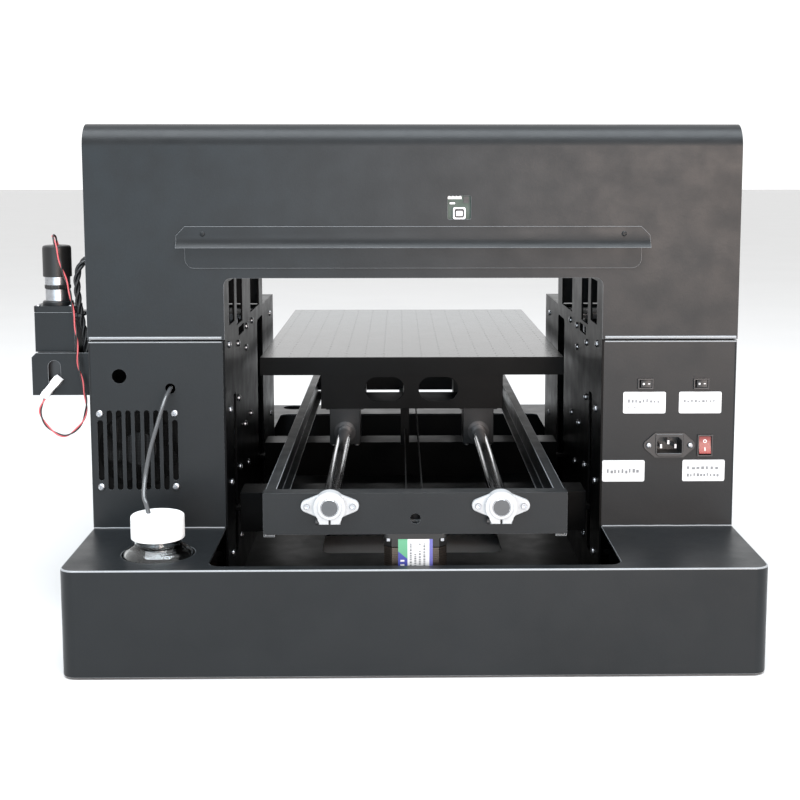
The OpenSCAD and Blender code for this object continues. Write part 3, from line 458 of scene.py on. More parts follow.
# ---------------------------------------------------------------- cords
WASTE_ROUTE = (
    (-232.6, -266, 234.5), (-232.6, -276, 234), (-235, -290, 226), (-240, -304, 205),
    (-245, -318, 182), (-247, -332, 160), (-246, -344, 148), (-243, -350, 142),
    (-240, -353, 132))
LEAD_ROUTE = (
    (-352, -205, 368), (-353, -208, 376), (-354, -214, 378), (-351, -222, 373),
    (-346, -228, 360), (-341, -232, 344), (-335, -235, 328), (-331, -238, 308),
    (-328, -240, 287), (-327, -241, 268), (-326, -241, 250), (-322, -241, 231),
    (-320, -241, 211), (-326, -241, 194), (-342, -241, 183), (-358, -241, 192),
    (-365, -241, 207), (-360, -240, 221))
SIDE_ROUTE = (
    (-310, -216, 356), (-318, -216, 356), (-326, -218, 350), (-330, -220, 338),
    (-330, -220, 320), (-328, -219, 300), (-325, -218, 282), (-323, -218, 261))
DECK_ROUTE = (
    (180, -246, 34), (170, -246, 34), (160, -252, 32), (146, -272, 25), (130, -300, 24),
    (108, -326, 24), (80, -346, 24), (50, -362, 24), (20, -378, 24), (-20, -386, 24),
    (-60, -376, 24), (-100, -350, 24), (-130, -312, 24), (-150, -274, 25), (-162, -250, 32),
    (-170, -244, 34), (-180, -244, 34))
LEAD_PLUG = Vector((-354, -238, 231))
LEAD_PLUG_TURN = 40


def make_cord(node, route, diameter, mats, wires=1, pieces=()):
    """A cord along its CAD route: one round sheath, or a few wires loosely twisted."""
    points = smooth(route, 8)
    spread = 0 if wires == 1 else 1 / math.sin(math.pi / wires)
    thick = diameter / 2 / (1 + spread)
    bm = bmesh.new()
    for k in range(wires):
        twist = 0 if wires == 1 else TAU / 34
        tube(bm, points, thick, 14, k % len(mats), thick * spread, twist, k * TAU / wires)
    piece = to_piece(node + "_sheath", bm, mats, node=node, smooth_deg=60)
    path = [p * MM for p in points]
    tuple(path[0])
    path_length(points) * MM


def lead_plug():
    """The white two-pin connector on the stirrer's lead: a ribbed shell, a latch and its collar."""
    bm = bmesh.new()
    block(bm, (-3.6, -4.6, -12), (3.6, 4.6, 6), 0.6)
    block(bm, (-4, -5, 4), (4, 5, 12), 0.6)
    block(bm, (-1.6, -5.4, -3), (1.6, -4.4, 8), 0.3)
    for z in (-9, -6.5):
        block(bm, (-3.9, -4.9, z), (3.9, 4.9, z + 1), 0.2)
    turn = Matrix.Translation(LEAD_PLUG) @ Matrix.Rotation(math.radians(LEAD_PLUG_TURN), 4, "Y")
    bmesh.ops.transform(bm, matrix=turn, verts=bm.verts)
    return to_piece("lead_plug", bm, "white_plastic", node="stir_lead", replace=False)


make_cord("waste_tube", WASTE_ROUTE, 4, ("tube_grey",))
make_cord("stir_lead", LEAD_ROUTE, 3, ("lead_red", "cable_black"), 2, [lead_plug()])
make_cord("side_cable", SIDE_ROUTE, 7, ("cable_black",), 3)
make_cord("deck_cable", DECK_ROUTE, 6, ("cable_black",))


# ---------------------------------------------------------------- studio
def make_stage():
    """A pale floor, a white surround and soft boxes: cool from the left, warm from the right."""
    bm = bmesh.new()
    bmesh.ops.create_grid(bm, x_segments=1, y_segments=1, size=30)
    mesh = bpy.data.meshes.new("floor")
    bm.to_mesh(mesh)
    bm.free()
    m = Surface("floor_pale")
    m.set(Specular_IOR_Level=0.2)
    grain = m.noise(3)
    mesh.materials.append(m.finish(m.ramp(grain, (0.61, 0.61, 0.61), (0.63, 0.63, 0.63)),
                                   m.range(grain, 0.75, 0.85), m.bump(grain, 0.02, 0.001)))
    floor = bpy.data.objects.new("floor", mesh)
    bpy.context.scene.collection.objects.link(floor)

    world = bpy.data.worlds.new("surround")
    world.use_nodes = True
    world.node_tree.nodes["Background"].inputs[0].default_value = (1, 1, 1, 1)
    world.node_tree.nodes["Background"].inputs[1].default_value = 1.2
    bpy.context.scene.world = world
    view = bpy.context.scene.view_settings
    view.view_transform = "Standard"

    def soft_box(name, at, target, size, radiance, rgb):
        data = bpy.data.lights.new(name, "AREA")
        data.shape = "RECTANGLE"
        data.size, data.size_y = size
        data.energy = radiance * math.pi * size[0] * size[1]
        data.color = rgb
        lamp = bpy.data.objects.new(name, data)
        lamp.location = at
        lamp.rotation_euler = (Vector(target) - Vector(at)).to_track_quat("-Z", "Y").to_euler()
        lamp.visible_camera = False
        bpy.context.scene.collection.objects.link(lamp)

    soft_box("box_left", (-1.0, -3, 0.52), (-1.0, 0, 0.5), (1.1, 1.0), 3.4, (0.66, 0.9, 1.08))
    soft_box("box_middle", (0, -3, 0.52), (0, 0, 0.5), (0.9, 1.0), 4.2, (0.93, 1.0, 1.07))
    soft_box("box_right", (1.0, -3, 0.52), (1.0, 0, 0.5), (1.2, 1.0), 11.5, (1.16, 0.95, 0.84))
    soft_box("box_top", (0, -0.85, 2.2), (0, -0.3, 0.3), (2.8, 1.4), 8.0, (0.93, 1.0, 1.06))


make_stage()


# ---------------------------------------------------------------- folded and machined parts
def cad_copy(node):
    """A welded copy of a CAD node's mesh, its flat triangles merged, in millimetres."""
    bm = bmesh.new()
    bm.from_mesh(NODES[node].data)
    bmesh.ops.scale(bm, vec=(1 / MM,) * 3, verts=bm.verts)
    bmesh.ops.remove_doubles(bm, verts=bm.verts, dist=0.004)
    bmesh.ops.dissolve_degenerate(bm, edges=bm.edges, dist=0.002)
    bmesh.ops.dissolve_limit(bm, angle_limit=math.radians(0.6), verts=bm.verts, edges=bm.edges)
    return bm


def sharp_edges(bm, degrees=42):
    limit = math.radians(degrees)
    return [e for e in bm.edges if len(e.link_faces) == 2 and e.calc_face_angle(0) > limit]


def refined(node, width=0.35, segments=2, bend=None, bend_r=0.0, mats=None, extra=None, before=None,
            bend_mat=-1):
    """Stands for a CAD node with its edges eased. bend(edge) picks folds of radius bend_r. On black-painted
    parts the eased edges, and the folds where bend_mat is 1, take the light grey edge paint: painted highlight
    lines.
    """
    bm = cad_copy(node)
    if before:
        before(bm)
    if bend:
        bevel(bm, [e for e in sharp_edges(bm) if bend(e)], bend_r, 5, bend_mat)
    mats = mats or (SLOT_OF[node] if SLOT_OF[node] != "body_black" else ("body_black", "body_edge"))
    # The eased edges of black-painted parts take the light grey edge paint, a painted edge highlight.
    bevel(bm, sharp_edges(bm), width, segments, 0 if isinstance(mats, str) else 1)
    if extra:
        extra(bm)
    return to_piece(node + "_eased", bm, mats, node=node)


def at_height(edge, z, tolerance=0.05):
    return all(abs(v.co.z - z) < tolerance for v in edge.verts)


BASE_LOW, BASE_HIGH = box("base_shell")
TOWER_LOW, TOWER_HIGH = box("left_tower")
HOOD_LOW, HOOD_HIGH = box("hood_shell")
REAR_Y = HOOD_LOW.y
LEDGE_Z = BASE_HIGH.z


def base_rim(edge):
    """The top edge of the base's outer walls."""
    far = all(abs(v.co.x) > BASE_HIGH.x - 15 or abs(v.co.y) > BASE_HIGH.y - 15 for v in edge.verts)
    rim = all(abs(v.co.x) > BASE_HIGH.x - 0.5 or abs(v.co.y) > BASE_HIGH.y - 0.5
              or (abs(v.co.x) > BASE_HIGH.x - 14.5 and abs(v.co.y) > BASE_HIGH.y - 14.5) for v in edge.verts)
    return at_height(edge, LEDGE_Z) and far and rim


def tower_bend(edge):
    """The upright outer corners of a tower."""
    x, y = edge.verts[0].co.x, edge.verts[0].co.y
    upright = all(abs(a - b) < 0.01 for a, b in zip(edge.verts[0].co.xy, edge.verts[1].co.xy))
    on_corner = abs(abs(x) - BASE_HIGH.x) < 0.1 and min(abs(y - TOWER_LOW.y), abs(y - TOWER_HIGH.y)) < 0.1
    return upright and on_corner


def seam_gap(bm):
    """Lifts the hood's lower edge a little, for the open joint over the towers."""
    for v in bm.verts:
        if v.co.z < HOOD_LOW.z + 0.05:
            v.co.z += 1.3


TOWER_INNER_X = 183


def hood_hem(bm):
    """The rolled hem along the hood's lower edge, over each tower, in the light grey edge paint: a painted
    highlight line.
    """
    for side in (-1, 1):
        ends = side * (HOOD_HIGH.x - 1.5), side * TOWER_INNER_X
        tube(bm, [Vector((x, REAR_Y + 0.6, HOOD_LOW.z + 3)) for x in ends], 1.5, 14, 1)


def highlight_bead(bm, a, b, r, seed):
    """A thin uneven bead of weld and paint from a to b, in the light grey edge paint: a painted highlight line.
    """
    rnd = random.Random(seed)
    a, b = Vector(a), Vector(b)
    count = max(2, int((b - a).length / 4))
    points = [a.lerp(b, k / count) + Vector((0, 0, rnd.uniform(-0.12, 0.12))) for k in range(count + 1)]
    tube(bm, points, r, 8, 1)


def tower_extra(side):
    def add(bm):
        ends = side * (BASE_HIGH.x - 1), side * TOWER_INNER_X
        # A bead along the ledge joint: a painted highlight line.
        highlight_bead(bm, *((x, REAR_Y - 0.2, LEDGE_Z + 0.3) for x in ends), 0.7, 3 + side)
        # A thin rod along the tower's top, under the hood's seam, in the light grey edge paint: a painted
        # highlight line.
        tube(bm, [Vector((x, REAR_Y + 0.3, HOOD_LOW.z - 1)) for x in ends], 0.7, 10, 1)
    return add


# The base's top rim is folded in the light grey edge paint: a painted highlight line along the rim.
refined("base_shell", 0.7, 3, base_rim, 1.3, bend_mat=1)
refined("left_tower", 0.8, 3, tower_bend, 2.6, extra=tower_extra(-1))
refined("right_tower", 0.8, 3, tower_bend, 2.6, extra=tower_extra(1))
refined("hood_shell", 0.8, 3, before=seam_gap, extra=hood_hem)
refined("rear_lip_plate", 0.5, 3)
refined("ink_bracket", 0.7, 3)
refined("end_bars", 1.2, 3)
refined("side_rails", 0.6)
for name in ("base_floor", "left_inner_wall", "right_inner_wall", "hood_inner_panels", "crossbeams",
             "motor_plate", "carriage_box", "belt_clamp", "gantry_posts", "gantry_beam", "lift_guides",
             "print_carriage", "print_head", "uv_lamp", "cap_station", "power_supply", "ink_tank"):
    refined(name, 0.45)
refined("fan_frame", 0.45, mats="fan_black")
refined("table_tray", 0.7, 3)
refined("switch_bezels", 0.45, 2)


# ---------------------------------------------------------------- screws
def phillips(bm, at, normal, r, h, mat=0, spin=0.0):
    """A pan head with a tapered cross recess, standing on a face."""
    turn = Vector(normal).to_track_quat("Z", "Y").to_matrix().to_4x4() @ Matrix.Rotation(spin, 4, "Z")
    place = Matrix.Translation(Vector(at)) @ turn
    steps = 32
    dome = ((r, 0), (r, h * 0.3), (r * 0.95, h * 0.58), (r * 0.8, h * 0.84), (r * 0.62, h))
    rings = [[place @ Vector((q * math.cos(TAU * k / steps), q * math.sin(TAU * k / steps), z))
              for k in range(steps)] for q, z in dome]
    skin(bm, rings, mat, caps=False)
    bm.verts.ensure_lookup_table()
    rim = bm.verts[-steps:]
    arm, slot = r * 0.46, r * 0.11
    quarter = ((arm, slot), (slot, slot), (slot, arm))
    cross = [Matrix.Rotation(math.radians(90 * k), 2) @ Vector(p) for k in range(4) for p in quarter]
    top = [bm.verts.new(place @ Vector((p.x, p.y, h))) for p in cross]
    low = [bm.verts.new(place @ Vector((p.x * 0.7, p.y * 0.7, h * 0.35))) for p in cross]
    loops = [bm.edges.get((rim[k], rim[(k + 1) % steps])) for k in range(steps)]
    loops += [bm.edges.new((top[k], top[(k + 1) % 12])) for k in range(12)]
    for face in bmesh.ops.triangle_fill(bm, edges=loops, use_dissolve=False)["geom"]:
        if isinstance(face, bmesh.types.BMFace):
            face.material_index = mat
    for k in range(12):
        bm.faces.new((top[k], top[(k + 1) % 12], low[(k + 1) % 12], low[k])).material_index = mat
    bm.faces.new(low).material_index = mat


def islands(bm):
    """The separate solids of a mesh, as lists of vertices, in the mesh's own order."""
    seen = set()
    for first in bm.verts:
        if first in seen:
            continue
        seen.add(first)
        found = [first]
        for v in found:
            for e in v.link_edges:
                other = e.other_vert(v)
                if other not in seen:
                    seen.add(other)
                    found.append(other)
        yield found


def extent(solid):
    """The low and high corners of some vertices."""
    return [Vector([pick(v.co[k] for v in solid) for k in range(3)]) for pick in (min, max)]


def body_screws():
    """Every screw of the node, found as a loose solid and built again as a Phillips head."""
    rnd = random.Random(7)
    source = cad_copy("body_screws")
    bm = bmesh.new()
    for solid in islands(source):
        low, high = extent(solid)
        size, centre = high - low, (low + high) / 2
        thin = min(range(3), key=lambda k: size[k])
        normal = Vector((0, 0, 0))
        normal[thin] = -1 if thin == 1 or centre.x > 0 else 1
        foot = centre - normal * size[thin] / 2
        r = max(size) / 2
        phillips(bm, foot, normal, r, size[thin], 0 if r > 2.5 else 1, rnd.uniform(0, math.pi))
    source.free()
    to_piece("phillips_screws", bm, ("zinc_steel", "body_black"), node="body_screws")


body_screws()


# ---------------------------------------------------------------- rear panel fittings
def pierced_plate(bm, outline, hole, back, thick):
    """A plate standing off a rear-facing panel, with a hole through it. Both loops are (x, z)."""
    loops = []
    for loop, depths in ((outline, (0, thick - 0.4, thick)), (hole, (thick, 0))):
        middle_x = sum(x for x, z in loop) / len(loop)
        rings = []
        for d in depths:
            shrink = 0.99 if loop is outline and d == thick else 1
            rings.append([Vector((middle_x + (x - middle_x) * shrink, back - d, z)) for x, z in loop])
        skin(bm, rings, 0, caps=False)
        bm.verts.ensure_lookup_table()
        made = bm.verts[-len(loop) * len(rings):]
        front = made[-len(loop):] if loop is outline else made[:len(loop)]
        loops += [bm.edges.get((front[k], front[(k + 1) % len(loop)])) for k in range(len(loop))]
    bmesh.ops.triangle_fill(bm, edges=loops, use_dissolve=True)


def power_inlet():
    """An IEC inlet: flange with two ears, a raised mouth, a deep socket and three blades."""
    low, high = box("power_inlet")
    x, z = (low.x + high.x) / 2, (low.z + high.z) / 2
    face = REAR_Y
    ear = (high.x - low.x) / 2 - 5
    bm = bmesh.new()
    ears = arc(x + ear, z, 5, -52, 52, 8) + [(x + 14, z + 12), (x - 14, z + 12)]
    ears += arc(x - ear, z, 5, 128, 232, 8) + [(x - 14, z - 12), (x + 14, z - 12)]

    def mouth(w, h, cut_top, cut_low):
        right, top = w / 2, h / 2
        return [(x + right, z - top + cut_low), (x + right, z + top - cut_top), (x + right - cut_top, z + top),
                (x - right + cut_top, z + top), (x - right, z + top - cut_top), (x - right, z - top + cut_low),
                (x - right + cut_low, z - top), (x + right - cut_low, z - top)]

    def ring(outline, y):
        return [Vector((p, y, q)) for p, q in outline]

    outer, inner = mouth(27.2, 22, 1.2, 3.2), mouth(23.6, 15.6, 3.4, 0.8)
    pierced_plate(bm, ears, outer, face, 2.1)
    shrunk, lip = mouth(26.4, 21.2, 1, 3), mouth(24.4, 16.4, 3.2, 1)
    skin(bm, [ring(outer, face), ring(outer, face - 2.6), ring(shrunk, face - 3), ring(lip, face - 3),
              ring(inner, face - 2.6), ring(inner, face + 17)], caps=False)
    bm.faces.new([bm.verts.new(p) for p in ring(inner, face + 17)])
    block(bm, (x - 13.8, face + 17.2, z - 10.3), (x + 13.8, high.y, z + 10.3), 0.6)
    for dx, dz in ((-7, -2), (0, 2), (7, -2)):
        block(bm, (x + dx - 1, face + 3, z + dz - 2), (x + dx + 1, face + 17, z + dz + 2), 0.5, 1)
    for dx in (-6.5, 6.5):
        block(bm, (x + dx - 1, high.y - 0.5, z - 6), (x + dx + 1, high.y, z + 2), 0.2, 1)
    to_piece("iec_inlet", bm, ("black_plastic", "zinc_steel"), node="power_inlet")


SUNK, PROUD = -0.1, 0.06


def facing_out(across, up):
    """The normal of a printed mark, on the side away from the panel."""
    out = across.cross(up)
    return out if out.y < 0 else -out


def mark_disc(bm, at, across, up, r, hole=0.05, mat=1):
    """A printed dot, or a ring where hole is given, just proud of a face."""
    out = facing_out(across, up)
    rims = ((r, SUNK), (r, PROUD), (hole, PROUD), (hole, SUNK))
    skin(bm, [circle(at + lift * out, across, up, q, 20) for q, lift in rims], mat, loop=True)


def mark_bar(bm, at, across, up, w, h, mat=1):
    out = facing_out(across, up)
    corners = [at + sx * w / 2 * across + sy * h / 2 * up for sx, sy in ((-1, -1), (1, -1), (1, 1), (-1, 1))]
    skin(bm, [[c + lift * out for c in corners] for lift in (SUNK, PROUD)], mat)


ROCKER_TILT = math.radians(8)
ROCKER_AXLE = 2.5
DOT_AND_DASH = ((-0.5, mark_disc, (1.05,)), (0.5, mark_bar, (1.9, 0.7)))
BAR_AND_RING = ((-0.5, mark_bar, (0.7, 3.4)), (0.42, mark_disc, (1.7, 1.15)))


def rocker_face(reach, part):
    """A point on one wing of a rocker's front: how far along it, and out from the axle."""
    wing = Vector((part * reach, -3 - 1.2 * abs(part)))
    along = Vector((1, -1.2 / reach if part > 0 else 1.2 / reach)).normalized()
    turn = Matrix.Rotation(ROCKER_TILT, 2)
    return turn @ wing, turn @ along


def rocker(node, name, paint, ease, reach, marks, upright=False):
    """A rocker with a printed mark on each wing, lying across the panel or upright."""
    centre = middle(node)
    axle = Vector((centre.x, REAR_Y + ROCKER_AXLE, centre.z))
    bm = cad_copy(node)
    bevel(bm, sharp_edges(bm, 30), *ease)
    for part, draw, sizes in marks:
        spot, along = rocker_face(reach, part)
        if upright:
            at = axle + Vector((0, spot.y, spot.x))
            across, up = Vector((1, 0, 0)), Vector((0, along.y, along.x))
        else:
            at = axle + Vector((spot.x, spot.y, 0))
            across, up = Vector((along.x, along.y, 0)), Vector((0, 0, 1))
        draw(bm, at, across, up, *sizes)
    to_piece(name, bm, (paint, "mark_white"), node=node)


def printed_rows(bm, x, z, y, rows, width, seed):
    """Rows of short grey strokes that stand for print. A row is (height, stroke, count)."""
    rnd = random.Random(seed)
    for dz, tall, count in rows:
        pitch = width / count
        for k in range(count):
            w = pitch * rnd.uniform(0.4, 0.75)
            low = x - width / 2 + k * pitch
            rise = rnd.uniform(-0.12, 0.12) * tall
            z0 = z + dz - tall / 2 + rise
            block(bm, (low, y - 0.04, z0), (low + w, y + 0.05, z0 + tall * rnd.uniform(0.6, 1)), 0, 1)


def panel_labels():
    """Four white plates with round corners; their print is only strokes and dashes."""
    source = cad_copy("panel_labels")
    rows = {
        0: ((1.6, 3.4, 9), (-5, 1.2, 16)),
        1: ((1.6, 2.6, 9), (-4.5, 0.7, 18)),
        2: ((0, 4.2, 9),),
        3: ((2.8, 3.2, 7), (-4, 3.6, 10)),
    }
    bm = bmesh.new()
    spots = []
    for solid in islands(source):
        low, high = extent(solid)
        size, centre = high - low, (low + high) / 2
        spots.append((round(centre.z, 1), round(centre.x, 1), size.x, size.z))
    source.free()
    spots.sort(key=lambda s: (s[0] < 190, s[1]))
    for k, (z, x, w, h) in enumerate(spots):
        slab(bm, round_outline(w, h, 1.6, (x, z)), REAR_Y - 0.3, REAR_Y, "Y", 0.1)
        printed_rows(bm, x, z, REAR_Y - 0.3, rows[k], w * 0.78, 11 + k)
    to_piece("label_plates", bm, ("label_white", "print_grey"), node="panel_labels")


def usb_module():
    """A data port behind the hood's square hole: board, white header strip and USB-B shell."""
    low, high = box("usb_module")
    x, port_z = (low.x + high.x) / 2, low.z + 16.6
    y = REAR_Y + 5
    bm = bmesh.new()
    block(bm, (low.x, y, low.z), (high.x, high.y, high.z), 0.3)
    outer, inner = round_outline(11.6, 11, 1.6, (x, port_z)), round_outline(9.4, 8.6, 2, (x, port_z))
    tongue = round_outline(6, 4.4, 0.5, (x, port_z - 0.2))
    rings = [[Vector((p, d, q)) for p, q in o] for o, d in
             ((outer, y), (outer, REAR_Y + 0.7), (inner, REAR_Y + 0.6), (inner, y - 0.6))]
    skin(bm, rings, 1, caps=False)
    slab(bm, inner, y - 0.8, y - 0.5, "Y", 0, 2)
    slab(bm, tongue, REAR_Y + 1.2, y - 0.5, "Y", 0.3, 1)
    head = port_z + 14.5
    block(bm, (x - 11.6, REAR_Y + 3.2, head - 1.2), (x + 2.2, y, head + 1.2), 0.3, 1)
    for k in range(4):
        px = x - 10 + 3.4 * k
        block(bm, (px, REAR_Y + 2.4, head + 1), (px + 1, REAR_Y + 4.2, head + 3), 0.1, 1)
    block(bm, (x - 9, REAR_Y + 3.6, head - 6), (x - 4, y, head - 4.4), 0.3, 1)
    block(bm, (x + 4, REAR_Y + 3.8, head - 5), (x + 9, y, head + 1), 0.3, 2)
    for dx in (-12, 12):
        for dz in (-18, 14):
            lathe(bm, ((2.5, 0), (2.5, 3)), (x + dx, REAR_Y + 2, port_z + 5.4 + dz), "Y", 6, 3)
    to_piece("usb_port", bm, ("board_green", "white_plastic", "black_plastic", "zinc_steel"), node="usb_module")


power_inlet()
for name in ("left_rocker", "right_rocker"):
    rocker(name, name + "_rocker", "black_plastic", (0.35, 2), 5.3, DOT_AND_DASH)
rocker("power_rocker", "power_rocker_red", "red_plastic", (0.45, 3), 8.3, BAR_AND_RING, upright=True)
panel_labels()
usb_module()


def fan_rotor():
    """A hub and seven swept, twisted blades."""
    bm, low, high, c = begin("fan_rotor")
    hub = ((0.5, low.y), (15.4, low.y), (16.6, low.y + 0.8), (17, low.y + 2.4), (17, high.y), (3.3, high.y),
           (3.3, low.y + 3), (0.5, low.y + 3))
    lathe(bm, [(r, h - c.y) for r, h in hub], c, "Y", 64)
    tip = (high.z - low.z) / 2
    blades, span, chord = 7, 8, 6
    for b in range(blades):
        rows = []
        for i in range(span + 1):
            r = 16 + (tip - 16) * i / span
            pitch = math.radians(44 - 22 * i / span)
            wide = 19 + 5 * i / span
            sweep = math.radians(360 * b / blades + 16 * (i / span) ** 2)
            top, low_side = [], []
            for k in range(chord + 1):
                s = k / chord - 0.5
                a = sweep + s * wide * math.cos(pitch) / r
                y = c.y + s * wide * math.sin(pitch) * 0.9 + 1.6 * (0.25 - s * s)
                thick = 0.35 + 0.5 * (0.25 - s * s) * 4
                point = Vector((c.x + r * math.sin(a), y, c.z + r * math.cos(a)))
                top.append(point - Vector((0, thick, 0)))
                low_side.append(point + Vector((0, thick, 0)))
            rows.append(top + low_side[::-1])
        skin(bm, rows)
    to_piece("fan_blades", bm, "black_plastic", node="fan_rotor")


fan_rotor()


# ---------------------------------------------------------------- waste bottle
def waste_bottle():
    """A thick clear bottle with a round shoulder, and the ring of a moulded neck bead."""
    bm, low, high, c = begin("waste_bottle")
    r, neck = (high.x - low.x) / 2, 21
    shoulder = LEDGE_Z + 4
    bend = [(p, q) for p, q in arc(r - 11, shoulder - 8.2, 11, 0, 62, 10)]
    outer = [(0.4, low.z + 2), (r - 6, low.z), (r - 2, low.z + 1), (r, low.z + 5)] + bend
    outer += [(neck + 0.6, LEDGE_Z + 9), (neck, LEDGE_Z + 11), (neck, high.z - 0.6), (neck - 0.6, high.z)]
    inner = [(p - 1.7, q - 0.8) for p, q in bend]
    inside = [(neck - 1.6, high.z), (neck - 1.8, LEDGE_Z + 10)] + inner[::-1]
    inside += [(r - 2, low.z + 6), (r - 5, low.z + 3), (0.4, low.z + 3.6)]
    lathe(bm, outer + inside, (c.x, c.y, 0), "Z", 96)
    to_piece("clear_bottle", bm, "clear_plastic", node="waste_bottle", smooth_deg=60)


def bottle_cap():
    """A white screw cap with fine grip ribs and the hole that the tube enters by."""
    bm, low, high, c = begin("bottle_cap")
    r = (high.x - low.x) / 2

    def ribs(angle, h):
        return 0.12 * (math.cos(96 * angle) - 1) if low.z + 2.5 < h < high.z - 2 else 0

    wall = ((r - 1.6, low.z), (r - 0.3, low.z), (r, low.z + 0.4), (r, low.z + 2.4), (r, low.z + 2.8),
            (r, high.z - 2.4), (r - 0.3, high.z - 1), (r - 1.2, high.z - 0.2), (r - 2.4, high.z),
            (2, high.z), (2, high.z - 2), (21.2, high.z - 2), (21.2, low.z))
    lathe(bm, wall, (c.x, c.y, 0), "Z", 384, loop=True, wave=ribs)
    lathe(bm, ((1.9, high.z - 1.9), (1.9, high.z - 0.02)), (c.x, c.y, 0), "Z", 24)
    tube_at = Vector(WASTE_ROUTE[-1])
    collar = ((2.1, -1), (3.6, -1), (3.6, 0.02), (2.1, 0.02))
    lathe(bm, collar, (tube_at.x, tube_at.y, high.z), "Z", 24, loop=True)
    to_piece("white_cap", bm, "white_plastic", node="bottle_cap")


waste_bottle()
bottle_cap()


# ---------------------------------------------------------------- guide frame and table
def rods():
    """The guide rods' low and high corners, radius, height and places across."""
    low, high = box("guide_rods")
    r = (high.z - low.z) / 2
    return low, high, r, (high.z + low.z) / 2, (low.x + r, high.x - r)


def guide_rods():
    """Two ground rods with chamfered, sawn grey ends."""
    low, high, r, z, places = rods()
    bm = bmesh.new()
    for x in places:
        lathe(bm, ((r - 0.7, low.y), (r, low.y + 0.7), (r, high.y - 0.7), (r - 0.7, high.y)),
              (x, 0, z), "Y", 64)
        for y, way in ((low.y, 1), (high.y, -1)):
            lathe(bm, ((r - 0.75, -0.02 * way), (r - 0.75, 0.4 * way)), (x, y, z), "Y", 48, 1)
    to_piece("ground_rods", bm, ("chrome", "rod_end"), node="guide_rods")


def socket_head(bm, at, way, r, h, mat):
    """A cap screw with a hexagon socket, its axis along Y; way is the side it faces."""
    rim = ((r, 0), (r, h * 0.8), (r - 0.3, h), (r * 0.62, h), (r * 0.58, h * 0.4), (0.3, h * 0.3))
    lathe(bm, [(q, way * d) for q, d in rim], at, "Y", 30, mat)


def rod_supports():
    """Cast flange supports: a rounded boss and foot with a clamping slit, an eared flange."""
    rods_low, rods_high, r, z, places = rods()
    bm = bmesh.new()
    open_angle = math.degrees(math.asin(0.8 / r))
    foot_angle = math.degrees(math.acos(9.4 / 14))
    for x in places:
        for end, way in ((rods_low.y, 1), (rods_high.y, -1)):
            face = end + way * 12
            boss = arc(x, z, 14, -foot_angle, 180 + foot_angle, 40) + [(x - 9.4, z - 15), (x - 0.8, z - 15)]
            boss += arc(x, z, r, 270 - open_angle, -90 + open_angle, 40)
            boss += [(x + 0.8, z - 15), (x + 9.4, z - 15)]
            slab(bm, boss, min(end + way * 0.9, face), max(end + way * 0.9, face), "Y", 0.9, 0, 3)
            ring = ((r + 0.05, 1), (r + 0.05, 0.2), (r + 0.4, 0), (r + 2.2, 0), (r + 2.8, 0.5), (r + 2.8, 1))
            lathe(bm, [(q, way * d) for q, d in ring], (x, end, z), "Y", 48, loop=True)
            ear = arc(x + 20, z, 5.5, -62, 62, 8) + arc(x, z, 13, 62, 118, 10)
            ear += arc(x - 20, z, 5.5, 118, 242, 8) + arc(x, z, 13, 242, 268, 4)
            ear += arc(x, z, r, 268, -88, 40) + arc(x, z, 13, 272, 298, 4)
            back = face - way * 6
            slab(bm, ear, min(back, face), max(back, face), "Y", 1.1, 0, 3)
            for side in (-1, 1):
                at = (x + side * 20, back, z)
                lathe(bm, ((3.9, 0.1 * way), (3.9, -0.25 * way), (2.9, -0.3 * way)), at, "Y", 30, 0)
                socket_head(bm, at, -way, 2.7, 2.4, 1)
            bolt = (x - 10, (end + face) / 2, z - 13.5)
            lathe(bm, ((2.6, -2.4), (2.6, 0)), bolt, "X", 24, 2)
    to_piece("flange_supports", bm, ("cast_alloy", "zinc_steel", "black_plastic"), node="rod_supports")


def hex_nut(bm, x, y, z_low, z_high, r, mat):
    lathe(bm, ((r - 0.3, z_low), (r, z_low + 0.4), (r, z_high)), (x, y, 0), "Z", 6, mat)
    lathe(bm, ((r * 0.5, z_low - 0.4), (r * 0.5, z_low + 0.2)), (x, y, 0), "Z", 16, mat)


def stepper(bm, half, length, corner, mats, flange=4.0):
    """A stepper motor standing below its flange: the flange, end bells and a grooved stack.

    The flange's top is at height 0 and the motor hangs down from there.
    """
    black, stack = mats

    def section(reach, cut):
        q = reach - cut
        quarter = ((q, reach), (-q, reach))
        turns = ((1, 0), (0, 1), (-1, 0), (0, -1))
        return [(x * p - y * t, x * t + y * p) for p, t in turns for x, y in quarter]

    slab(bm, round_outline(2 * half, 2 * half, corner), -flange, 0, "Z", 0.5, black)
    body = half - 0.5
    slab(bm, section(body, 7), -12, -flange, "Z", 0.5, black)
    slab(bm, section(body, 7), -length, -length + 12, "Z", 0.9, black)
    rings = []
    low, high = -length + 12, -12
    grooves = 16
    for k in range(grooves):
        z0 = low + (high - low) * k / grooves
        z1 = low + (high - low) * (k + 0.7) / grooves
        for z, inset in ((z0, 0.5), (z0 + 0.1, 0.2), (z1, 0.2), (z1 + 0.1, 0.5)):
            rings.append([Vector((x, y, z)) for x, y in section(body - inset, 7)])
    skin(bm, rings, stack)


NEMA23_HOLE = 47.14 / 2


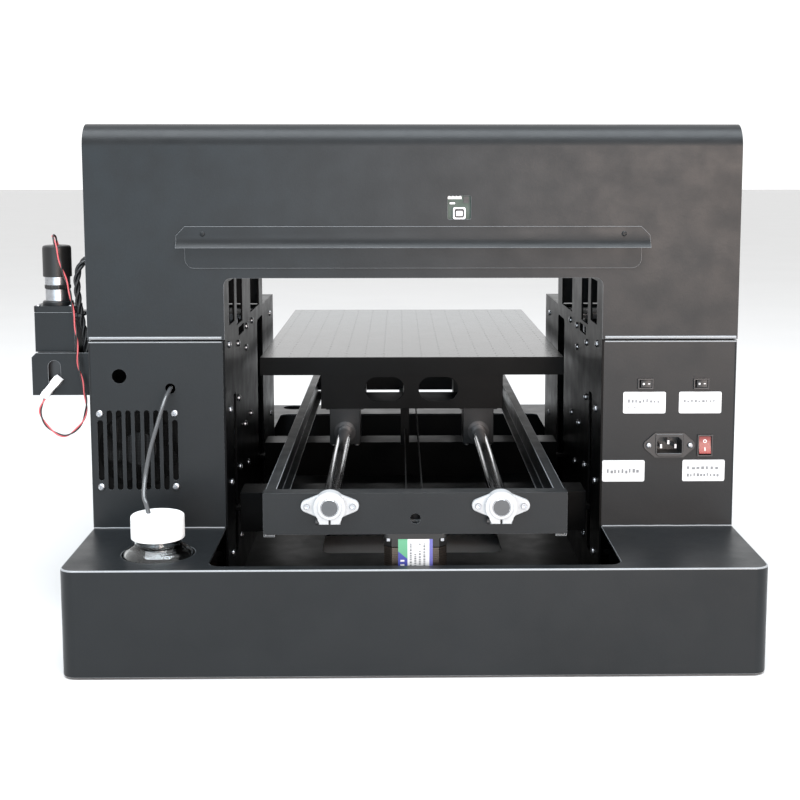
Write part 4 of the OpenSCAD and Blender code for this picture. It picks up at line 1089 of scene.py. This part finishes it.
def y_motor():
    """The table's motor with its coloured type plate and nuts under the flange."""
    bm, low, high, c = begin("y_motor")
    top = low.z + 56
    half = (high.x - low.x) / 2
    stepper(bm, half, 56, 5, (0, 1))
    boss = ((11.9, 0), (11.9, 1.6), (11.4, 2), (3.4, 2), (3.2, 2), (3.2, 19.6), (2.8, 20))
    lathe(bm, boss, (0, 0, 0), "Z", 48, 2)
    bmesh.ops.translate(bm, vec=(c.x, c.y, top), verts=bm.verts)
    for sx in (-1, 1):
        for sy in (-1, 1):
            hex_nut(bm, c.x + sx * NEMA23_HOLE, c.y + sy * NEMA23_HOLE, top - 7.2, top - 4, 3.4, 2)
    front = c.y - half + 0.5
    left, right, roof, base = c.x - 15.3, c.x + 15.3, top - 4.6, top - 46
    strip, band = left + 8.3, right - 3

    def patch(outline, mat, lift=0.0):
        slab(bm, outline, front - 0.2 - lift, front + 0.3, "Y", 0, mat)

    patch([(strip, base), (band, base), (band, roof), (strip, roof)], 3)
    patch([(left, roof - 11), (strip, roof - 18), (strip, roof), (left, roof)], 4)
    patch([(left, base), (strip, base), (strip, roof - 18), (left, roof - 11)], 5)
    patch([(band, base), (right, base), (right, roof), (band, roof)], 6)
    rnd = random.Random(4)
    for column in range(4):
        x = strip + 2 + 4 * column
        z = roof - 4
        while z > base + 3:
            tall = rnd.uniform(0.8, 2.0)
            if column == 0 or z < roof - 14 or rnd.random() < 0.55:
                block(bm, (x, front - 0.26, z - tall), (x + 1.7, front - 0.1, z), 0, 7)
            z -= tall + rnd.uniform(0.5, 1.1)
    for z in (base + 12, base + 17, base + 21):
        block(bm, (left + 2, front - 0.26, z), (left + 5.5, front - 0.1, z + 1.6), 0, 3)
    mats = ("motor_black", "motor_stack", "zinc_steel", "label_white", "label_green", "label_blue",
            "label_violet", "print_grey")
    to_piece("table_motor", bm, mats, node="y_motor")


def lift_motors():
    """Two small steppers on the floor plate, shafts up."""
    low, high = box("lift_motors")
    half = (high.y - low.y) / 2
    bm = bmesh.new()
    for x in (low.x + half, high.x - half):
        part = bmesh.new()
        stepper(part, half, 40, 5, (0, 1), 5)
        lathe(part, ((11, 0), (11, 0.8), (2.6, 0.8), (2.5, 0.8), (2.5, 14)), (0, 0, 0), "Z", 36, 2)
        bmesh.ops.translate(part, vec=(x, middle("lift_motors").y, low.z + 40), verts=part.verts)
        join(bm, part)
    to_piece("lift_steppers", bm, ("motor_black", "motor_stack", "zinc_steel"), node="lift_motors")


def x_motor():
    """The print carriage's stepper, lying behind the beam with its shaft towards the belt."""
    bm, low, high, c = begin("x_motor")
    half = (high.x - low.x) / 2
    front = high.y - 34
    stepper(bm, half, 34, 5, (0, 1), 5)
    lathe(bm, ((2.5, 0), (2.5, 17.6), (2.2, 18)), (0, 0, 0), "Z", 36, 2)
    turn = Matrix.Translation(Vector((c.x, front, c.z))) @ Matrix.Rotation(math.radians(90), 4, "X")
    bmesh.ops.transform(bm, matrix=turn, verts=bm.verts)
    to_piece("carriage_stepper", bm, ("motor_black", "motor_stack", "zinc_steel"), node="x_motor")


def join(bm, part):
    """Adds one mesh in the making to another."""
    mesh = bpy.data.meshes.new("part")
    part.to_mesh(mesh)
    part.free()
    bm.from_mesh(mesh)
    bpy.data.meshes.remove(mesh)


BELT_R = 7.0


def toothed_belt(ends, r, low, high, thick=1.2, pitch=5.0):
    """A closed belt round two pulleys at the ends, its teeth inside. Points are (across, along)."""
    near, far = ends
    straight = far - near
    round_len = math.pi * r
    total = 2 * (straight + round_len)
    count = int(total / pitch)

    def place(s):
        s %= total
        if s < straight:
            return Vector((-r, near + s)), Vector((-1, 0))
        s -= straight
        if s < round_len:
            a = math.pi - s / r
            return Vector((r * math.cos(a), far + r * math.sin(a))), Vector((math.cos(a), math.sin(a)))
        s -= round_len
        if s < straight:
            return Vector((r, far - s)), Vector((1, 0))
        a = -(s - straight) / r
        return Vector((r * math.cos(a), near + r * math.sin(a))), Vector((math.cos(a), math.sin(a)))

    rings = []
    for k in range(count):
        for step, tooth in ((0.0, 0.0), (0.12, 0.5), (0.4, 0.5), (0.52, 0.0)):
            p, out = place((k + step) * total / count)
            inner, outer = p + out * (0.5 - tooth), p + out * thick
            rings.append([(inner, low), (outer, low), (outer, high), (inner, high)])
    return rings


def y_belt():
    """The table's belt, with the idler's axle and its bracket."""
    low, high = box("y_belt")
    base = box("drive_pulley")[0].z + 2
    ends = (middle("drive_pulley").y, middle("idler_pulley").y)
    bm = bmesh.new()
    rings = toothed_belt(ends, BELT_R, base, base + 10)
    skin(bm, [[Vector((p.x, p.y, h)) for p, h in ring] for ring in rings], 0, loop=True)
    lathe(bm, ((3, low.z + 3), (3, high.z - 0.4), (2.6, high.z)), (0, ends[1], 0), "Z", 32, 1)
    block(bm, (-14, ends[1] - 14, low.z), (14, high.y, low.z + 3), 0.5, 1)
    to_piece("table_belt", bm, ("belt_rubber", "zinc_steel"), node="y_belt")


def x_belt():
    bm, low, high, c = begin("x_belt")
    ends = (middle("x_drive_pulley").x, middle("x_idler_pulley").x)
    rings = toothed_belt(ends, BELT_R, low.y, high.y)
    skin(bm, [[Vector((p.y, h, c.z + p.x)) for p, h in ring] for ring in rings], 0, loop=True)
    to_piece("carriage_belt", bm, "belt_rubber", node="x_belt")


def pulley(node, axis):
    """A toothed pulley between two flanges, with its bore."""
    bm, low, high, c = begin(node)
    k = "XYZ".index(axis)
    half = (high[k] - low[k]) / 2
    bore = {"drive_pulley": 3.25, "idler_pulley": 3.05, "x_drive_pulley": 2.55, "x_idler_pulley": 3.05}[node]
    r = 6.75

    def teeth(angle, h):
        return 0.4 * (math.cos(18 * angle) - 1) if abs(h) < half - 2 else 0

    profile = ((bore, -half), (r + 2.2, -half), (r + 2.5, -half + 0.3), (r + 2.5, -half + 0.9), (r, -half + 1),
               (r, -half + 2.1), (r, half - 2.1), (r, half - 1), (r + 2.5, half - 0.9), (r + 2.5, half - 0.3),
               (r + 2.2, half), (bore, half))
    lathe(bm, profile, c, axis, 144, loop=True, wave=teeth)
    to_piece(node + "_toothed", bm, "cast_alloy", node=node)


def bearing_blocks():
    """Four ball-bush blocks: dark cases with a raised pad, end seals and four cap screws."""
    bm = cad_copy("bearing_blocks")
    bevel(bm, sharp_edges(bm), 0.8, 3)
    low, high = box("bearing_blocks")
    _, _, r, z, places = rods()
    for x in places:
        for y in (low.y + 22, high.y - 22):
            for end in (-22, 22):
                lip = ((r + 0.1, -0.2), (r + 4, -0.2), (r + 4, 0.2), (r + 0.1, 0.2))
                lathe(bm, lip, (x, y + end, z), "Y", 48, 1, loop=True)
            for dx in (-16.5, 16.5):
                for dy in (-15, 15):
                    lathe(bm, ((2.4, -2.4), (2.6, -2.2), (2.6, 0)), (x + dx * 0.8, y + dy, z - 14), "Z", 24, 2)
    to_piece("bush_blocks", bm, ("body_black", "black_plastic", "zinc_steel"), node="bearing_blocks")


def table_plate():
    """The perforated top: 16 by 25 drilled holes, each a real recess, and an eased rim."""
    low, high = box("table_plate")
    columns, rows = 16, 25
    pitch_x, pitch_y = 20.6, 20.0
    mid_x, mid_y = (low.x + high.x) / 2, (low.y + high.y) / 2
    xs = [mid_x + pitch_x * (k - columns / 2) for k in range(columns + 1)]
    ys = [mid_y + pitch_y * (k - rows / 2) for k in range(rows + 1)]
    xs[0], xs[-1] = low.x, high.x
    ys[0], ys[-1] = low.y, high.y
    z, deep, r = high.z, 2.2, 1.0
    bm = bmesh.new()
    wells = []
    for i in range(columns):
        for j in range(rows):
            cx, cy = mid_x + pitch_x * (i + 0.5 - columns / 2), mid_y + pitch_y * (j + 0.5 - rows / 2)
            x0, x1, y0, y1 = xs[i], xs[i + 1], ys[j], ys[j + 1]
            frame_points = [(x1, cy), (x1, y1), (cx, y1), (x0, y1), (x0, cy), (x0, y0), (cx, y0), (x1, y0)]
            outer = [bm.verts.new((x, y, z)) for x, y in frame_points]
            hole = [(cx + r * math.cos(TAU * k / 8), cy + r * math.sin(TAU * k / 8)) for k in range(8)]
            rim = [bm.verts.new((x, y, z)) for x, y in hole]
            well = [bm.verts.new((x, y, z - deep)) for x, y in hole]
            for k in range(8):
                n = (k + 1) % 8
                bm.faces.new((outer[k], outer[n], rim[n], rim[k]))
                # The hole walls and bottoms take the near-black inner paint: painted shade in the recesses.
                bm.faces.new((rim[k], rim[n], well[n], well[k])).material_index = 1
            bottom = bm.faces.new(well)
            bottom.material_index = 1
            wells += rim + well
    keep = set(wells)
    bmesh.ops.remove_doubles(bm, verts=[v for v in bm.verts if v not in keep], dist=0.01)
    outline = [e for e in bm.edges if len(e.link_faces) == 1]
    sides = bmesh.ops.extrude_edge_only(bm, edges=outline)["geom"]
    lowered = [v for v in sides if isinstance(v, bmesh.types.BMVert)]
    for face in sides:
        if isinstance(face, bmesh.types.BMFace):
            face.material_index = 1
    bmesh.ops.translate(bm, vec=(0, 0, low.z - z), verts=lowered)
    bmesh.ops.contextual_create(bm, geom=[e for e in sides if isinstance(e, bmesh.types.BMEdge)])
    bevel(bm, outline, 0.5, 3)
    to_piece("perforated_top", bm, ("table_satin", "inner_black"), node="table_plate")


guide_rods()
rod_supports()
y_motor()
lift_motors()
x_motor()
y_belt()
x_belt()
for prefix, axis in (("", "Z"), ("x_", "Y")):
    for name in ("drive_pulley", "idler_pulley"):
        pulley(prefix + name, axis)
bearing_blocks()
table_plate()


def lift_screw(node):
    """A trapezoidal lead screw with its clamped coupling; the thread is a real helix."""
    bm, low, high, c = begin(node)
    bore, r = 2.55, 5.0
    coupling = low.z + 16
    sleeve = [(bore, low.z), (8.5, low.z), (9, low.z + 0.5)]
    for z in (low.z + 5, low.z + 9):
        sleeve += [(9, z), (8.2, z + 0.2), (8.2, z + 0.8), (9, z + 1)]
    sleeve += [(9, coupling - 0.5), (8.5, coupling), (bore, coupling)]
    lathe(bm, sleeve, (c.x, c.y, 0), "Z", 48, loop=True)
    pitch, turn_steps, rise = 2.0, 18, 0.5
    rings = []
    z = coupling
    while z <= high.z - 1:
        ring = []
        for k in range(turn_steps):
            a = TAU * k / turn_steps
            phase = (z / pitch - k / turn_steps) % 1
            tooth = min(1, max(0, 2.4 * abs(phase - 0.5) - 0.1))
            q = r - 0.9 * (1 - tooth) - 0.02
            ring.append(Vector((c.x + q * math.cos(a), c.y + q * math.sin(a), z)))
        rings.append(ring)
        z += rise
    skin(bm, rings)
    lathe(bm, ((4, high.z - 1.2), (4, high.z - 0.4), (3.6, high.z)), (c.x, c.y, 0), "Z", 32)
    to_piece(node + "_thread", bm, "zinc_steel", node=node)


lift_screw("left_lift_screw")
lift_screw("right_lift_screw")


def rubber_feet():
    """Turned rubber feet with a grooved tread and a steel washer in the middle."""
    source = cad_copy("rubber_feet")
    bm = bmesh.new()
    for solid in islands(source):
        low, high = extent(solid)
        at = (*((low + high) / 2).xy, 0)
        r, top = (high.x - low.x) / 2, high.z
        foot = ((r * 0.3, 1.2), (r * 0.36, 0), (r * 0.55, 0), (r * 0.58, 0.5), (r * 0.64, 0.5), (r * 0.67, 0),
                (r * 0.86, 0), (r * 0.97, 0.4), (r, 1.2), (r, 3.4), (r - 0.6, 4), (r - 1.9, 4.6), (r - 2, top))
        lathe(bm, foot, at, "Z", 48)
        lathe(bm, ((r * 0.28, 1.1), (r * 0.28, 1.6)), at, "Z", 24, 1)
    source.free()
    to_piece("turned_feet", bm, ("foot_rubber", "zinc_steel"), node="rubber_feet")


rubber_feet()


# ---------------------------------------------------------------- ink stirring unit
def stir_motor():
    """A cover plate, a crimped silver gearbox and a black motor cap."""
    low, high = box("stir_motor")
    paddle = middle("stir_paddle")
    x, y = paddle.x, paddle.y
    bm = bmesh.new()
    slab(bm, round_outline(40, 38, 3, (x, y)), low.z, low.z + 6, "Z", 0.8, 0, 3)
    for dx, dy in ((-16, -15), (16, -15), (-16, 15), (16, 15)):
        phillips(bm, (x + dx, y + dy, low.z + 5.9), (0, 0, 1), 2.4, 1.2, 1, 0.4)
    lathe(bm, ((15, low.z + 6), (15, low.z + 9), (14.2, low.z + 10), (12.4, low.z + 10)), (x, y, 0), "Z", 48, 0)

    def crimp(angle, h):
        return 0.55 * max(0, math.cos(10 * angle)) if low.z + 22.5 < h < low.z + 25.5 else 0

    lathe(bm, ((11.8, low.z + 10), (12, low.z + 11), (12, low.z + 22)), (x, y, 0), "Z", 64, 1)
    # The crimped ring takes the motor's black, not the gearbox's silver: painted dark reflections in the crimp.
    ring = ((11.9, low.z + 21.5), (12.6, low.z + 22.6), (12.6, low.z + 25.4), (11.9, low.z + 26.5))
    lathe(bm, ring, (x, y, 0), "Z", 80, 2, wave=crimp)
    lathe(bm, ((12.2, low.z + 26), (12.3, low.z + 27), (12.3, low.z + 34.4)), (x, y, 0), "Z", 64, 1)
    cap = ((13.7, low.z + 34), (14, low.z + 34.4), (14, high.z - 3), (13.6, high.z - 1.4), (12.6, high.z - 0.4),
           (10.8, high.z), (5, high.z), (4.8, high.z - 0.5))
    lathe(bm, cap, (x, y, 0), "Z", 64, 2)
    to_piece("gear_motor", bm, ("body_black", "zinc_steel", "motor_black"), node="stir_motor")


def fan_filter():
    """A woven dust filter between the fan and the slots."""
    low, high = box("fan_frame")
    bm = bmesh.new()
    y, pitch, r = low.y + 0.4, 1.5, 0.22
    x = low.x + 1.5
    while x < high.x - 1:
        block(bm, (x - r, y - 0.15, low.z + 1), (x + r, y + 0.15, high.z - 1))
        x += pitch
    z = low.z + 1.5
    while z < high.z - 1:
        block(bm, (low.x + 1, y - 0.25, z - r), (high.x - 1, y + 0.05, z + r))
        z += pitch
    to_piece("dust_filter", bm, "fan_black", body=BODY_OF["fan_frame"], slot="black_plastic")


def stir_paddle():
    """A steel shaft with a white blade with round corners."""
    bm, low, high, c = begin("stir_paddle")
    lathe(bm, ((1.6, low.z + 2), (2, low.z + 2.4), (2, high.z - 0.4), (1.6, high.z)), (c.x, c.y, 0), "Z", 24, 0)
    for way in (-1, 1):
        blade = round_outline(10, 13.9, 2, (c.x + way * 7, low.z + 7))
        slab(bm, blade, c.y - 1, c.y + 1, "Y", 0.4, 1)
    block(bm, (c.x - 3, c.y - 1, low.z), (c.x + 3, c.y + 1, low.z + 13.6), 0.3, 1)
    to_piece("paddle_blade", bm, ("zinc_steel", "white_plastic"), node="stir_paddle")


fan_filter()
stir_motor()
stir_paddle()


def zip_tie(name, route, index, r, way, node, mats="cable_black"):
    """A nylon tie pulled round a cable, with its square head and a cut tail."""
    points = smooth(route, 8)
    p = points[index]
    ahead = (points[index + 1] - points[index - 1]).normalized()
    side = ahead.orthogonal().normalized()
    other = ahead.cross(side)
    bm = bmesh.new()
    band = ((r, -1.2), (r + 0.9, -1.2), (r + 0.9, 1.2), (r, 1.2))
    skin(bm, [circle(p + lift * ahead, side, other, q, 32) for q, lift in band], loop=True)
    out = Vector(way).normalized()
    head = p + out * (r + 1.6)
    block(bm, head - Vector((2, 2, 2)), head + Vector((2, 2, 2)), 0.4)
    tail = smooth((head, head + out * 4 + Vector((0, 0, 1)), head + out * 8 + Vector((-3, 0, 4))), 6)
    tube(bm, tail, 0.8, 6)
    to_piece(name, bm, mats, body=BODY_OF[node])


zip_tie("side_tie", SIDE_ROUTE, 40, 3.6, (-1, -0.3, 0), "side_cable")
